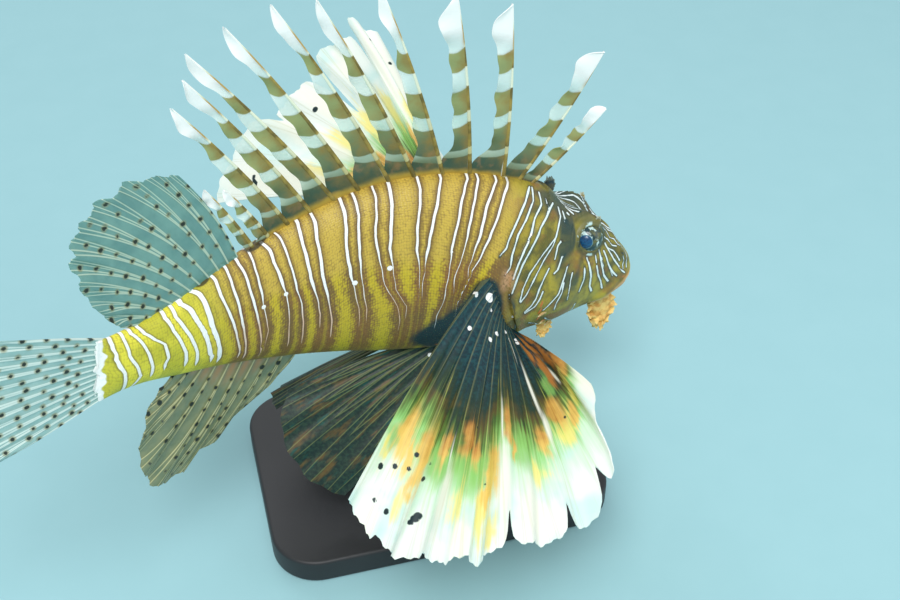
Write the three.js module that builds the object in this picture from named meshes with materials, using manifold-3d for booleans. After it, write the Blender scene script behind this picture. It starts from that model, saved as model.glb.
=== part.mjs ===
// A life-size red lionfish (Pterois volitans), swimming, held up by one rod on a flat base.
// Millimetres, +Z up, head towards +X, the fish's left towards +Y. The origin is the middle of the base's underside.
import * as THREE from 'three';
import { mergeVertices } from 'three/addons/utils/BufferGeometryUtils.js';
import Module from 'manifold-3d';

const wasm = await Module();
wasm.setup();

// Driving dimensions
const trunkHeight = 120; // axis of the trunk above the floor
const bodyLength = 241; // snout to the end of the tail stalk
const seam = 0.3; // gap between pieces that touch
const fit = seam + 0.05; // how much the body is grown to cut what stands on it
const membrane = 0.6; // thickness of the fin skin
const rayHeight = 1.3; // thickness of a fin over its rays, at the root
const eyeRadius = 6.3;
const base = { length: 150, width: 105, height: 12, corner: 20, bevel: 1.5 };
const rod = { radius: 3, x: -12, y: 0 };

// The body's stations: distance from the snout, the axis there, its height above and below, its half width
const stations = [
  { along: 0, x: 91.2, y: 4, z: -24.5, above: 2.6, below: 2.6, half: 3.2 }, // lips
  { along: 2.5, x: 89, y: 4, z: -23.6, above: 6.6, below: 7, half: 7 },
  { along: 7, x: 85.3, y: 4, z: -22, above: 10, below: 11.8, half: 9.6 },
  { along: 14, x: 79.2, y: 3.9, z: -19.6, above: 14.8, below: 17.4, half: 12.2 }, // nostrils
  { along: 24, x: 70.5, y: 3.6, z: -16, above: 20.6, below: 23.4, half: 15.4 },
  { along: 36, x: 59.6, y: 3.1, z: -12.2, above: 27.4, below: 29.4, half: 18.8 }, // eyes
  { along: 53, x: 43.2, y: 2.1, z: -7.4, above: 34.5, below: 35, half: 21.5 }, // nape
  { along: 75, x: 21.6, y: 0.8, z: -3, above: 40, below: 40, half: 22 }, // shoulder
  { along: 97, x: 0, y: 0, z: 0, above: 41.5, below: 41, half: 20.5 },
  { along: 117, x: -19.9, y: -1, z: 1.6, above: 39.5, below: 39.5, half: 18.5 },
  { along: 138, x: -40.6, y: -4.2, z: 2.6, above: 34.5, below: 34.5, half: 15.5 }, // vent
  { along: 160, x: -61.2, y: -11.2, z: 4.4, above: 28.5, below: 28, half: 12.5 },
  { along: 180, x: -78.6, y: -20.6, z: 7.4, above: 22.5, below: 22, half: 9.8 },
  { along: 200, x: -94.6, y: -32, z: 11.2, above: 17, below: 16.5, half: 7.4 },
  { along: 220, x: -109.6, y: -44.6, z: 16.9, above: 12.8, below: 12.2, half: 5.6 }, // tail stalk
  { along: 232, x: -118.4, y: -52.4, z: 20.3, above: 11.8, below: 11, half: 4.4 },
  { along: 241, x: -125, y: -58.4, z: 22.8, above: 12.2, below: 11.4, half: 3.4 },
];
const flankNarrowing = 0.12; // how much narrower the back is than the belly

const radians = THREE.MathUtils.degToRad;
const mix = THREE.MathUtils.lerp;
const clamp = THREE.MathUtils.clamp;

// One column of the stations at any distance, on a smooth curve through them
function station(column, along) {
  const last = stations.length - 1;
  const s = clamp(along, 0, bodyLength);
  let i = 0;
  while (i < last - 1 && stations[i + 1].along <= s) i += 1;
  const slope = (j) => {
    const a = stations[Math.max(j - 1, 0)];
    const b = stations[Math.min(j + 1, last)];
    return (b[column] - a[column]) / (b.along - a.along);
  };
  const width = stations[i + 1].along - stations[i].along;
  const t = (s - stations[i].along) / width;
  return ((2 * t - 3) * t * t + 1) * stations[i][column] + ((t - 2) * t + 1) * t * width * slope(i)
    + (3 - 2 * t) * t * t * stations[i + 1][column] + (t - 1) * t * t * width * slope(i + 1);
}

// The axis and its three directions: forward to the snout, left, and up
function axisAt(along) {
  const at = (s) => new THREE.Vector3(station('x', s), station('y', s), station('z', s));
  const forward = at(along - 1.5).sub(at(along + 1.5)).normalize();
  const left = new THREE.Vector3(0, 0, 1).cross(forward).normalize();
  return { centre: at(along), forward, left, up: forward.clone().cross(left) };
}

// A point given by its distance from the snout, and how far it is left of the axis and above it
function inBody(along, left, up) {
  const axis = axisAt(along);
  return axis.centre.addScaledVector(axis.left, left).addScaledVector(axis.up, up);
}

// Rises and hollows of the head, alike on both sides: where, how far they reach, and how high
const eye = { along: 33.2, left: 9.8, up: 17.5 };
const headForms = [
  { along: 33.5, angle: 60, reachAlong: 6.5, reachAngle: 13, rise: 3 }, // brow
  { along: 28, angle: 90, reachAlong: 12, reachAngle: 14, rise: -4 }, // hollow between the brows
  { along: 45, angle: 88, reachAlong: 6, reachAngle: 34, rise: -2.5 }, // dip behind the eyes
  { along: 32, angle: 14, reachAlong: 9, reachAngle: 11, rise: 1.1 }, // rim below the eye
  { along: 12, angle: 52, reachAlong: 4.5, reachAngle: 16, rise: 1.2 }, // nostril swelling
  { along: 44, angle: -14, reachAlong: 12, reachAngle: 14, rise: 1.2 }, // cheek
];

const mouth = { corner: 17, frontUp: 1.2, cornerUp: -14, opening: 0.9, depth: 3.2, lip: 1, bone: 1.4 };

function headRelief(along, angle) {
  const degrees = THREE.MathUtils.radToDeg(angle);
  const mirrored = degrees > 90 ? 180 - degrees : degrees < -90 ? -180 - degrees : degrees;
  let rise = 0;
  for (const form of headForms) {
    const a = (along - form.along) / form.reachAlong;
    const b = (mirrored - form.angle) / form.reachAngle;
    rise += form.rise * Math.exp(-a * a - b * b);
  }
  const up = Math.sin(angle) * station(Math.sin(angle) > 0 ? 'above' : 'below', along);
  const over = 0.73 * (up - mix(mouth.frontUp, mouth.cornerUp, along / mouth.corner));
  rise += mouth.lip * Math.exp(-((Math.abs(over) - 1.5) ** 2) / 1.2) * clamp((mouth.corner - along) / 3, 0, 1);
  rise += mouth.bone * Math.exp(-(((over - 3.2) / 2.2) ** 2) - ((along - 14) / 6) ** 2);
  const edge = (along - gillOpening(angle)) / 3.5;
  return edge < 0.1 ? rise + 0.9 * Math.exp(-edge * edge) : rise;
}

// Where the gill cover ends: furthest back at the flank, further forward at the nape and the throat
function gillOpening(angle) {
  const toFlank = Math.abs(Math.abs(angle) > Math.PI / 2 ? Math.PI - Math.abs(angle) : Math.abs(angle));
  const signed = Math.sin(angle) < 0 ? -toFlank : toFlank;
  return 51 + 16 * Math.exp(-(((signed - 0.1) / 0.72) ** 2));
}

// A point on the skin; margin moves it out
function skinPoint(along, angle, margin = 0, relief = true) {
  const out = margin + (relief && along < 70 ? headRelief(along, angle) : 0);
  const high = Math.sin(angle);
  const height = station(high > 0 ? 'above' : 'below', along) + out;
  const half = (station('half', along) + out) * (1 - flankNarrowing * high);
  return inBody(along, half * Math.cos(angle), height * high);
}

// Solids and geometries

function solidFrom(positions, indices) {
  const geometry = new THREE.BufferGeometry();
  geometry.setAttribute('position', new THREE.Float32BufferAttribute(positions, 3));
  geometry.setIndex(indices);
  return toSolid(geometry);
}

function toSolid(geometry) {
  const bare = geometry.clone();
  bare.deleteAttribute('normal');
  bare.deleteAttribute('uv');
  const merged = mergeVertices(bare, 1e-3);
  return new wasm.Manifold(new wasm.Mesh({
    numProp: 3,
    vertProperties: merged.attributes.position.array,
    triVerts: new Uint32Array(merged.index.array),
  }));
}

function toGeometry(solid) {
  const mesh = solid.getMesh();
  const geometry = new THREE.BufferGeometry();
  geometry.setAttribute('position', new THREE.Float32BufferAttribute(mesh.vertProperties, 3));
  geometry.setIndex(new THREE.BufferAttribute(mesh.triVerts, 1));
  return geometry;
}

const fuse = (solids) => solids.reduce((whole, piece) => whole.add(piece));

// The largest closed surface of a solid, once its near-equal corners are one
function largest(solid) {
  const biggest = (pieces) => pieces.reduce((a, b) => (a.volume() > b.volume() ? a : b));
  return biggest(toSolid(toGeometry(biggest(solid.decompose()))).decompose());
}

// A closed length of body between two ends, each a function of the angle round it; margin grows it all over,
// and crowding above 1 sets its rings closer at the front
function bodyPiece({ from, to, fromCentre, toCentre, rings, sides, crowding = 1 }, margin = 0) {
  const positions = [];
  const indices = [];
  for (let j = 0; j <= rings; j += 1) {
    for (let i = 0; i < sides; i += 1) {
      const angle = -Math.PI + (i / sides) * 2 * Math.PI;
      const along = mix(from(angle) - margin, to(angle) + margin, (j / rings) ** crowding);
      positions.push(...skinPoint(along, angle, margin).toArray());
    }
  }
  const front = positions.length / 3;
  positions.push(...inBody(fromCentre - margin, 0, 0).toArray(), ...inBody(toCentre + margin, 0, 0).toArray());
  for (let i = 0; i < sides; i += 1) {
    const next = (i + 1) % sides;
    for (let j = 0; j < rings; j += 1) {
      const a = j * sides + i;
      const b = j * sides + next;
      indices.push(a, a + sides, b, b, a + sides, b + sides);
    }
    indices.push(front, i, next, front + 1, rings * sides + next, rings * sides + i);
  }
  return solidFrom(positions, indices);
}

// A closed sheet from a grid of points, rows along a ray and columns across, with its thickness at each point
function sheetSolid(grid, thickness) {
  const columns = grid.length;
  const rows = grid[0].length;
  const positions = [[], []];
  const at = (i, j) => grid[clamp(i, 0, columns - 1)][clamp(j, 0, rows - 1)];
  for (let i = 0; i < columns; i += 1) {
    for (let j = 0; j < rows; j += 1) {
      const across = at(i + 1, j).clone().sub(at(i - 1, j));
      const along = at(i, j + 1).clone().sub(at(i, j - 1));
      const normal = across.cross(along).normalize().multiplyScalar(thickness(i, j) / 2);
      positions[0].push(...grid[i][j].clone().add(normal).toArray());
      positions[1].push(...grid[i][j].clone().sub(normal).toArray());
    }
  }
  const indices = [];
  const back = columns * rows;
  const id = (i, j) => i * rows + j;
  for (let i = 0; i < columns - 1; i += 1) {
    for (let j = 0; j < rows - 1; j += 1) {
      const [a, b, c, d] = [id(i, j), id(i + 1, j), id(i + 1, j + 1), id(i, j + 1)];
      indices.push(a, b, c, a, c, d, back + a, back + c, back + b, back + a, back + d, back + c);
    }
  }
  const rim = [];
  for (let i = 0; i < columns; i += 1) rim.push(id(i, 0));
  for (let j = 1; j < rows; j += 1) rim.push(id(columns - 1, j));
  for (let i = columns - 2; i >= 0; i -= 1) rim.push(id(i, rows - 1));
  for (let j = rows - 2; j > 0; j -= 1) rim.push(id(0, j));
  rim.forEach((a, k) => {
    const b = rim[(k + 1) % rim.length];
    indices.push(a, back + a, b, b, back + a, back + b);
  });
  const solid = solidFrom([...positions[0], ...positions[1]], indices);
  return solid.volume() > 0 ? solid : solidFrom([...positions[0], ...positions[1]],
    indices.map((_, k) => indices[k - (k % 3) + 2 - (k % 3)]));
}

// A short tapering spike between two points
function spikeSolid(from, to, radius, tipRadius, sides) {
  const spike = new THREE.CylinderGeometry(tipRadius, radius, from.distanceTo(to), sides);
  const turn = new THREE.Quaternion().setFromUnitVectors(new THREE.Vector3(0, 1, 0), to.clone().sub(from).normalize());
  const middle = from.clone().lerp(to, 0.5);
  return toSolid(spike.applyQuaternion(turn).translate(middle.x, middle.y, middle.z));
}

// A list of evenly spaced sizes read at any share of its length, on a smooth curve
function keyed(values, share) {
  const last = values.length - 1;
  const place = clamp(share, 0, 1) * last;
  const i = Math.min(Math.floor(place), last - 1);
  const t = place - i;
  const slope = (j) => (values[Math.min(j + 1, last)] - values[Math.max(j - 1, 0)]) / (j === 0 || j === last ? 1 : 2);
  return ((2 * t - 3) * t * t + 1) * values[i] + ((t - 2) * t + 1) * t * slope(i)
    + (3 - 2 * t) * t * t * values[i + 1] + (t - 1) * t * t * slope(i + 1);
}

// The columns of a fan: each ray has a foot on both sides, and flat skin lies between the feet
function fanColumns(rays, foot) {
  const columns = [];
  for (let k = 0; k < rays; k += 1) {
    if (k > 0) columns.push({ place: k - foot, gap: k - 1 });
    columns.push({ place: k });
    if (k < rays - 1) columns.push({ place: k + foot, gap: k });
  }
  return columns.map((column) => ({ ...column, share: column.place / (rays - 1) }));
}

// A fan of rays joined by skin. root, tip and bow give the course of the ray at a share across the fan, and
// notches says how deep the edge is cut between two rays, where it isn't the usual depth.
function fanSolid({ rays, foot = 0.2, rows, root, tip, bow, ridge = rayHeight, notch = 0.012, notches = {}, swell = 0 }) {
  const columns = fanColumns(rays, foot);
  const grid = columns.map(({ share, gap }) => {
    const from = root(share);
    const cutBack = gap === undefined ? 0 : notches[gap] ?? notch;
    const to = tip(share).sub(from).multiplyScalar(1 - cutBack).add(from);
    const lift = bow(share);
    return Array.from({ length: rows + 1 }, (_, j) => {
      const t = j / rows;
      return from.clone().lerp(to, t).addScaledVector(lift, 4 * t * (1 - t));
    });
  });
  return sheetSolid(grid, (i, j) => {
    const t = j / rows;
    const atRoot = swell * Math.max(0, 1 - t * 6);
    return (columns[i].gap === undefined ? mix(ridge, membrane + 0.1, t) : membrane) + atRoot;
  });
}

// The body, parted at the gill opening and twice along the tail

const gap = seam / 2;
const gillAxis = 58; // where the gill opening's cut meets the axis
const tailStart = 134;
const stalkStart = 206;
const at = (along) => () => along;
const bodyPieces = {
  head: {
    from: at(0), to: (angle) => gillOpening(angle) - gap, fromCentre: 0, toCentre: gillAxis - gap,
    rings: 25, sides: 34, crowding: 1.3,
  },
  trunk: {
    from: (angle) => gillOpening(angle) + gap, to: at(tailStart - gap),
    fromCentre: gillAxis + gap, toCentre: tailStart - gap, rings: 12, sides: 32,
  },
  tail: {
    from: at(tailStart + gap), to: at(stalkStart - gap),
    fromCentre: tailStart + gap, toCentre: stalkStart - gap, rings: 10, sides: 28,
  },
  tail_stalk: {
    from: at(stalkStart + gap), to: at(bodyLength),
    fromCentre: stalkStart + gap, toCentre: bodyLength, rings: 6, sides: 24,
  },
};
const grownBody = fuse(Object.values(bodyPieces).map((piece) => bodyPiece(piece, fit)));
const onBody = (solid) => largest(solid.subtract(grownBody));

function ballAt(centre, radius, wide, high) {
  return toSolid(new THREE.SphereGeometry(radius, wide, high).translate(centre.x, centre.y, centre.z));
}

const eyeCentre = (side) => inBody(eye.along, side * eye.left, eye.up);

// A thin plate from side to side, from in front of the lips to the corners of the mouth
function mouthSlit() {
  const ahead = 6;
  const { centre, forward, left, up } = axisAt(0);
  const corner = inBody(mouth.corner, 0, mouth.cornerUp);
  const front = centre.addScaledVector(forward, ahead)
    .addScaledVector(up, mix(mouth.frontUp, mouth.cornerUp, -ahead / mouth.corner));
  const along = front.clone().sub(corner);
  const plate = new THREE.BoxGeometry(along.length(), 60, mouth.opening);
  const middle = front.clone().lerp(corner, 0.5);
  along.normalize();
  plate.applyMatrix4(new THREE.Matrix4().makeBasis(along, left, along.clone().cross(left)));
  const inside = { from: at(0), to: at(40), fromCentre: 0, toCentre: 40, rings: 12, sides: 24 };
  return toSolid(plate.translate(middle.x, middle.y, middle.z)).subtract(bodyPiece(inside, -mouth.depth));
}

function headSolid() {
  const cuts = [mouthSlit()];
  const spines = [];
  for (const side of [1, -1]) {
    cuts.push(ballAt(eyeCentre(side), eyeRadius + seam, 14, 10));
    cuts.push(ballAt(onSide(side, 12, 52, 0), 0.9, 8, 6));
    spines.push(...cheekSpines(side));
  }
  return largest(bodyPiece(bodyPieces.head).add(fuse(spines)).subtract(fuse(cuts)));
}

// A point on the skin of one side, its height given in degrees above the flank
function onSide(side, along, degrees, out) {
  return skinPoint(along, side > 0 ? radians(degrees) : Math.PI - radians(degrees), out);
}

// Three short spines along the edge of each cheek
function cheekSpines(side) {
  const places = [
    { along: 45, degrees: -24, long: 5 },
    { along: 41, degrees: -37, long: 4.4 },
    { along: 36, degrees: -49, long: 3.8 },
  ];
  return places.map(({ along, degrees, long }) => spikeSolid(
    onSide(side, along, degrees, -1.5), onSide(side, along + long, degrees, 1.8), 1.3, 0.25, 6,
  ));
}

// The two soft fins in the middle plane, with leans and lengths at even steps from front to rear
const softDorsal = {
  from: 175, to: 217, above: true, rays: 11, rows: 6,
  leans: [34, 37, 41, 47, 52, 57, 62, 68, 75, 82, 92],
  lengths: [49, 56, 62, 66, 67, 64, 58, 49, 37, 25, 14],
};
const anal = {
  from: 147, to: 201, above: false, rays: 10, rows: 6,
  leans: [47, 41, 40, 40, 39, 41, 48, 58, 66, 76],
  lengths: [16, 28, 43, 54, 58, 57, 50, 38, 25, 11],
};

// The spiny fin of the back: thirteen spines, each with its own flag of skin behind it, joined low down by a web
const spines = {
  roots: [57, 62.5, 69, 82, 92, 102, 111, 122, 131.5, 142, 152, 161.5, 169],
  leans: [-35, -19, 9, 13, 22, 28, 30, 32, 36, 35, 36, 36, 35], // degrees back from upright
  lengths: [40, 60, 72, 76, 81, 85, 86, 88, 85, 80, 72, 31, 36],
  splays: [2, -2, 1.5, -1.5, 1.5, -1.5, 1.5, -1.5, 1.5, -1, 1, -1, 1], // degrees to the left
  radii: [1.25, 0.3], // at the root and the tip
  bend: 0.02, // how far a spine bows forward, as a share of its length
  sunk: 5,
};
const flagWidths = {
  front: [8, 7.2, 6.2, 6, 6, 6.8, 6.8, 1], // even steps from root to tip
  back: [9.5, 8.2, 6.6, 5.8, 5.2, 4.9, 5, 0.9],
};
const web = { from: 56, to: 170, steps: 26, height: 4.5, sunk: 4 };

function spineAndFlag(k) {
  const root = spines.roots[k];
  const axis = axisAt(root);
  const lean = radians(spines.leans[k]);
  const splay = radians(spines.splays[k]);
  const direction = axis.up.clone().multiplyScalar(Math.cos(lean) * Math.cos(splay))
    .addScaledVector(axis.forward, -Math.sin(lean) * Math.cos(splay)).addScaledVector(axis.left, Math.sin(splay));
  const behind = axis.up.clone().multiplyScalar(-Math.sin(lean)).addScaledVector(axis.forward, -Math.cos(lean));
  const start = skinPoint(root, Math.PI / 2, 0, false).addScaledVector(direction, -spines.sunk);
  const long = spines.lengths[k] + spines.sunk;
  const widths = k < 4 ? flagWidths.front : flagWidths.back;
  const rows = widths.length - 1;
  const radius = (j) => mix(...spines.radii, j / rows);
  const spacing = (spines.roots[k + 1] ?? softDorsal.from) - root;
  const spread = radians((spines.leans[k + 1] ?? softDorsal.leans[0]) - spines.leans[k]);
  const room = (j) => 0.65 * spacing * Math.cos(lean) + 0.9 * long * (j / rows) * Math.sin(Math.max(spread, 0));
  const width = (j) => Math.max(Math.min(widths[j], room(j)), 2 * radius(j) + 0.4);
  const across = (i, j) => [0, radius(j), 2 * radius(j) + 0.2, width(j)][i];
  const grid = [0, 1, 2, 3].map((i) => Array.from({ length: rows + 1 }, (_, j) => {
    const t = j / rows;
    return start.clone().addScaledVector(direction, t * long)
      .addScaledVector(behind, across(i, j) - spines.bend * long * 4 * t * (1 - t));
  }));
  return sheetSolid(grid, (i, j) => [0.8, 2 * radius(j), membrane, membrane][i]);
}

function spinyFinSolid() {
  const webGrid = Array.from({ length: web.steps + 1 }, (_, i) => {
    const along = mix(web.from, web.to, i / web.steps);
    const ends = Math.min(1, (i + 0.5) / 2, (web.steps - i + 0.5) / 2);
    return [-web.sunk, 0.5, web.height * ends].map((out) => skinPoint(along, Math.PI / 2, out, false));
  });
  const flags = spines.roots.map((_, k) => spineAndFlag(k));
  return onBody(fuse([sheetSolid(webGrid, (i, j) => [2, 1.6, 0.9][j]), ...flags]));
}

// A fin in the fish's own upright plane, above or below, from rays that lean back from it
function medianFin({ from, to, leans, lengths, rays, rows, above, bowBack = 0.05, reach = 4, ...more }) {
  const turn = above ? Math.PI / 2 : -Math.PI / 2;
  const sign = above ? 1 : -1;
  const direction = (share) => {
    const axis = axisAt(mix(from, to, share));
    const lean = radians(keyed(leans, share));
    return {
      out: axis.up.clone().multiplyScalar(sign * Math.cos(lean)).addScaledVector(axis.forward, -Math.sin(lean)),
      back: axis.up.clone().multiplyScalar(-sign * Math.sin(lean)).addScaledVector(axis.forward, -Math.cos(lean)),
    };
  };
  const root = (share) => skinPoint(mix(from, to, share), turn, -reach, false);
  return fanSolid({
    rays, rows, root, ...more,
    tip: (share) => skinPoint(mix(from, to, share), turn, 0, false)
      .addScaledVector(direction(share).out, keyed(lengths, share)),
    bow: (share) => direction(share).back.multiplyScalar(-bowBack * keyed(lengths, share)),
  });
}

// The tail fin, from the flat end of the stalk, angles above level
const tailFin = { rays: 14, risingTop: 30, risingBottom: -13, turn: 22, lengths: [40, 54, 62, 65, 63, 55, 40] };

function caudalSolid() {
  const end = axisAt(bodyLength);
  const level = new THREE.Vector3(-Math.cos(radians(tailFin.turn)), -Math.sin(radians(tailFin.turn)), 0);
  const upright = new THREE.Vector3(0, 0, 1);
  const root = (share) => inBody(bodyLength, 0, mix(11, -10.2, share)).addScaledVector(end.forward, -fit);
  const direction = (share) => {
    const rise = radians(mix(tailFin.risingTop, tailFin.risingBottom, share));
    return level.clone().multiplyScalar(Math.cos(rise)).addScaledVector(upright, Math.sin(rise));
  };
  return onBody(fanSolid({
    rays: tailFin.rays, rows: 6, root, swell: 2.2,
    tip: (share) => root(share).addScaledVector(direction(share), keyed(tailFin.lengths, share)),
    bow: () => end.forward.clone().negate().sub(level).multiplyScalar(5),
  }));
}

// Paired fins, with sizes at even steps across the fin. sweep is degrees from straight out sideways, positive
// forward, and lift is degrees above level.
const pectoral = {
  rays: 14, rows: 8, cup: 0.06, notch: 0.015, notches: { 7: 0.18, 9: 0.11, 11: 0.12 },
  root: (share) => ({ along: mix(74, 61, share), degrees: mix(10, -48, share) }),
};
const rightPectoral = {
  side: -1,
  sweep: [-46, -40, -32, -26, -21, -15, -8, 1, 12, 16.5],
  lift: [-18, -22, -17, -13, -13, -8, -9, -9, -4, 14],
  length: [108, 114, 117, 116, 113, 110, 105, 101, 88, 60],
};
const leftPectoral = {
  side: 1,
  sweep: [-50, -41, -33, -26, -20, -18, -12, -4, 6, 12],
  lift: [-3, 4, 11, 18, 27, 35, 35, 23, 6, -12],
  length: [118, 120, 120, 119, 120, 120, 112, 94, 74, 48],
};
const pelvic = {
  rays: 6, rows: 7, cup: 0.05,
  root: (share) => ({ along: mix(81, 74, share), degrees: mix(-79, -72, share) }),
};
const rightPelvic = {
  side: -1,
  sweep: [-87, -83, -80, -76, -72, -67],
  lift: [-9, -15, -21, -28, -35, -41],
  length: [70, 78, 83, 86, 87, 85],
};
const leftPelvic = {
  side: 1,
  sweep: [-87, -84, -81, -77, -73, -69],
  lift: [-26, -25, -25, -27, -31, -36],
  length: [82, 84, 85, 84, 82, 78],
};

function pairedFin({ side, sweep, lift, length }, { root, cup, ...shape }) {
  const start = (share) => onSide(side, root(share).along, root(share).degrees, -3);
  const direction = (share) => {
    const turn = radians(keyed(sweep, share));
    const rise = radians(keyed(lift, share));
    return new THREE.Vector3(Math.sin(turn) * Math.cos(rise), side * Math.cos(turn) * Math.cos(rise), Math.sin(rise));
  };
  return onBody(fanSolid({
    ...shape,
    root: start,
    tip: (share) => start(share).addScaledVector(direction(share), keyed(length, share)),
    bow: (share) => new THREE.Vector3(0, 0, cup * keyed(length, share)),
  }));
}

// A small flap of skin on the head: a leaf on a short stalk, with a wavy edge. up, back and out are its reach.
function flapSolid({ side, along, degrees, up, back, out, width }) {
  const from = onSide(side, along, degrees, -1.5);
  const axis = axisAt(along);
  const reach = axis.up.clone().multiplyScalar(up).addScaledVector(axis.forward, -back)
    .addScaledVector(axis.left, side * out);
  const across = reach.clone().cross(axis.left).normalize();
  const steps = 6;
  const grid = [-1, -0.4, 0.4, 1].map((place, i) => Array.from({ length: steps + 1 }, (_, j) => {
    const t = j / steps;
    const wide = width / 2 * (0.3 + 0.7 * Math.sin(Math.PI * Math.min(1, t * 0.95) ** 0.8)) * (j % 2 ? 1.08 : 0.9);
    return from.clone().addScaledVector(reach, t).addScaledVector(across, place * wide)
      .addScaledVector(axis.left, side * (i % 2 ? 0.5 : -0.3) * t);
  }));
  return onBody(sheetSolid(grid, (i, j) => 1.2 - 0.5 * (j / steps)));
}

function standBase() {
  const { length, width, height, corner, bevel } = base;
  const x = length / 2 - bevel;
  const y = width / 2 - bevel;
  const outline = new THREE.Shape();
  outline.moveTo(-x + corner, -y);
  outline.lineTo(x - corner, -y);
  outline.absarc(x - corner, -y + corner, corner, -Math.PI / 2, 0);
  outline.absarc(x - corner, y - corner, corner, 0, Math.PI / 2);
  outline.absarc(-x + corner, y - corner, corner, Math.PI / 2, Math.PI);
  outline.absarc(-x + corner, -y + corner, corner, Math.PI, 1.5 * Math.PI);
  const geometry = new THREE.ExtrudeGeometry(outline, {
    depth: height - 2 * bevel, bevelThickness: bevel, bevelSize: bevel, bevelSegments: 1, curveSegments: 6,
  });
  return geometry.translate(0, 0, bevel);
}

function standRod() {
  const from = base.height + seam - trunkHeight;
  const geometry = new THREE.CylinderGeometry(rod.radius, rod.radius, -from, 20);
  geometry.rotateX(Math.PI / 2).translate(rod.x, rod.y, from / 2);
  return onBody(toSolid(geometry));
}

// The finished group

const finish = {
  skin: { color: 0x9a7a2c, roughness: 0.5 },
  head: { color: 0x7d6a35, roughness: 0.5 },
  spines: { color: 0xd9d2b4, roughness: 0.5 },
  clearFin: { color: 0xa9b8a4, roughness: 0.35 },
  pectoral: { color: 0x51573a, roughness: 0.5 },
  pelvic: { color: 0x3b4233, roughness: 0.5 },
  flap: { color: 0xd9a75a, roughness: 0.6 },
  eye: { color: 0x14304a, roughness: 0.1 },
  base: { color: 0x1d1d1f, roughness: 0.45 },
  rod: { color: 0x8c8c8c, roughness: 0.3, metalness: 1 },
};

const lionfish = new THREE.Group();
const fish = new THREE.Group();
fish.position.z = trunkHeight;
lionfish.add(fish);

function add(parent, name, shape, look) {
  const geometry = shape.isBufferGeometry ? shape : toGeometry(shape);
  geometry.computeVertexNormals();
  const mesh = new THREE.Mesh(geometry, new THREE.MeshStandardMaterial(look));
  mesh.name = name;
  parent.add(mesh);
}

add(fish, 'head', headSolid(), finish.head);
for (const name of ['trunk', 'tail', 'tail_stalk']) add(fish, name, bodyPiece(bodyPieces[name]), finish.skin);
add(fish, 'spiny_dorsal_fin', spinyFinSolid(), finish.spines);
add(fish, 'soft_dorsal_fin', onBody(medianFin(softDorsal)), finish.clearFin);
add(fish, 'anal_fin', onBody(medianFin(anal)), finish.clearFin);
add(fish, 'caudal_fin', caudalSolid(), finish.clearFin);
add(fish, 'nape_flap', flapSolid({ side: 1, along: 48, degrees: 76, up: 7, back: 2, out: 0.5, width: 5 }), finish.head);
for (const [sideName, side] of [['left', 1], ['right', -1]]) {
  add(fish, `${sideName}_pectoral_fin`, pairedFin(side > 0 ? leftPectoral : rightPectoral, pectoral), finish.pectoral);
  add(fish, `${sideName}_pelvic_fin`, pairedFin(side > 0 ? leftPelvic : rightPelvic, pelvic), finish.pelvic);
  add(fish, `${sideName}_eye`, ballAt(eyeCentre(side), eyeRadius, 14, 10), finish.eye);
  add(fish, `${sideName}_brow_tentacle`, flapSolid({
    side, along: 30.5, degrees: 61, up: 5, back: 1, out: 1, width: 3,
  }), finish.head);
  add(fish, `${sideName}_mouth_flap`, flapSolid({
    side, along: 9, degrees: -50, up: -17, back: -3.5, out: 3, width: 12.5,
  }), finish.flap);
  add(fish, `${sideName}_cheek_flap`, flapSolid({
    side, along: 36, degrees: -60, up: -8, back: 1, out: 3, width: 7,
  }), finish.flap);
}
add(lionfish, 'stand_base', standBase(), finish.base);
add(fish, 'stand_rod', standRod(), finish.rod);

export default lionfish;
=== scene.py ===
import math
import bpy
import numpy as np
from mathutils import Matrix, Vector, noise


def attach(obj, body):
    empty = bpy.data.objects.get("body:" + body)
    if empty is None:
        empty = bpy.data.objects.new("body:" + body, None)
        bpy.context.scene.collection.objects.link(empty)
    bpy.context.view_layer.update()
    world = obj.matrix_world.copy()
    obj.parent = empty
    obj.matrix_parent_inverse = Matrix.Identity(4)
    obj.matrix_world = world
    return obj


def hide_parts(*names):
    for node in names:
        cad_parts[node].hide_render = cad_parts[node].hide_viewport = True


# A life-size red lionfish on a display stand: one skin, its fins, flags, flaps and eyes, and the stand.
# Metres, head towards +X, the fish's left towards +Y. Sizes in the tables are millimetres. A place on the
# body is its distance from the snout and its turn round the body, in degrees above the flank.

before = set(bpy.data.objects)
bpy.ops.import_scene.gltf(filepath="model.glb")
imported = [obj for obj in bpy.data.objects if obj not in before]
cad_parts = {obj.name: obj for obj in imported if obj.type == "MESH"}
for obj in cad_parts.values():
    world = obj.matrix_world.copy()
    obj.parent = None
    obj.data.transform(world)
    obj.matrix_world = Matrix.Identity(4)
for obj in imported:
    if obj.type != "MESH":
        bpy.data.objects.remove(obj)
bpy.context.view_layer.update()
mm = 0.001
luck = np.random.default_rng(11)


# Shader maths

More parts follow.
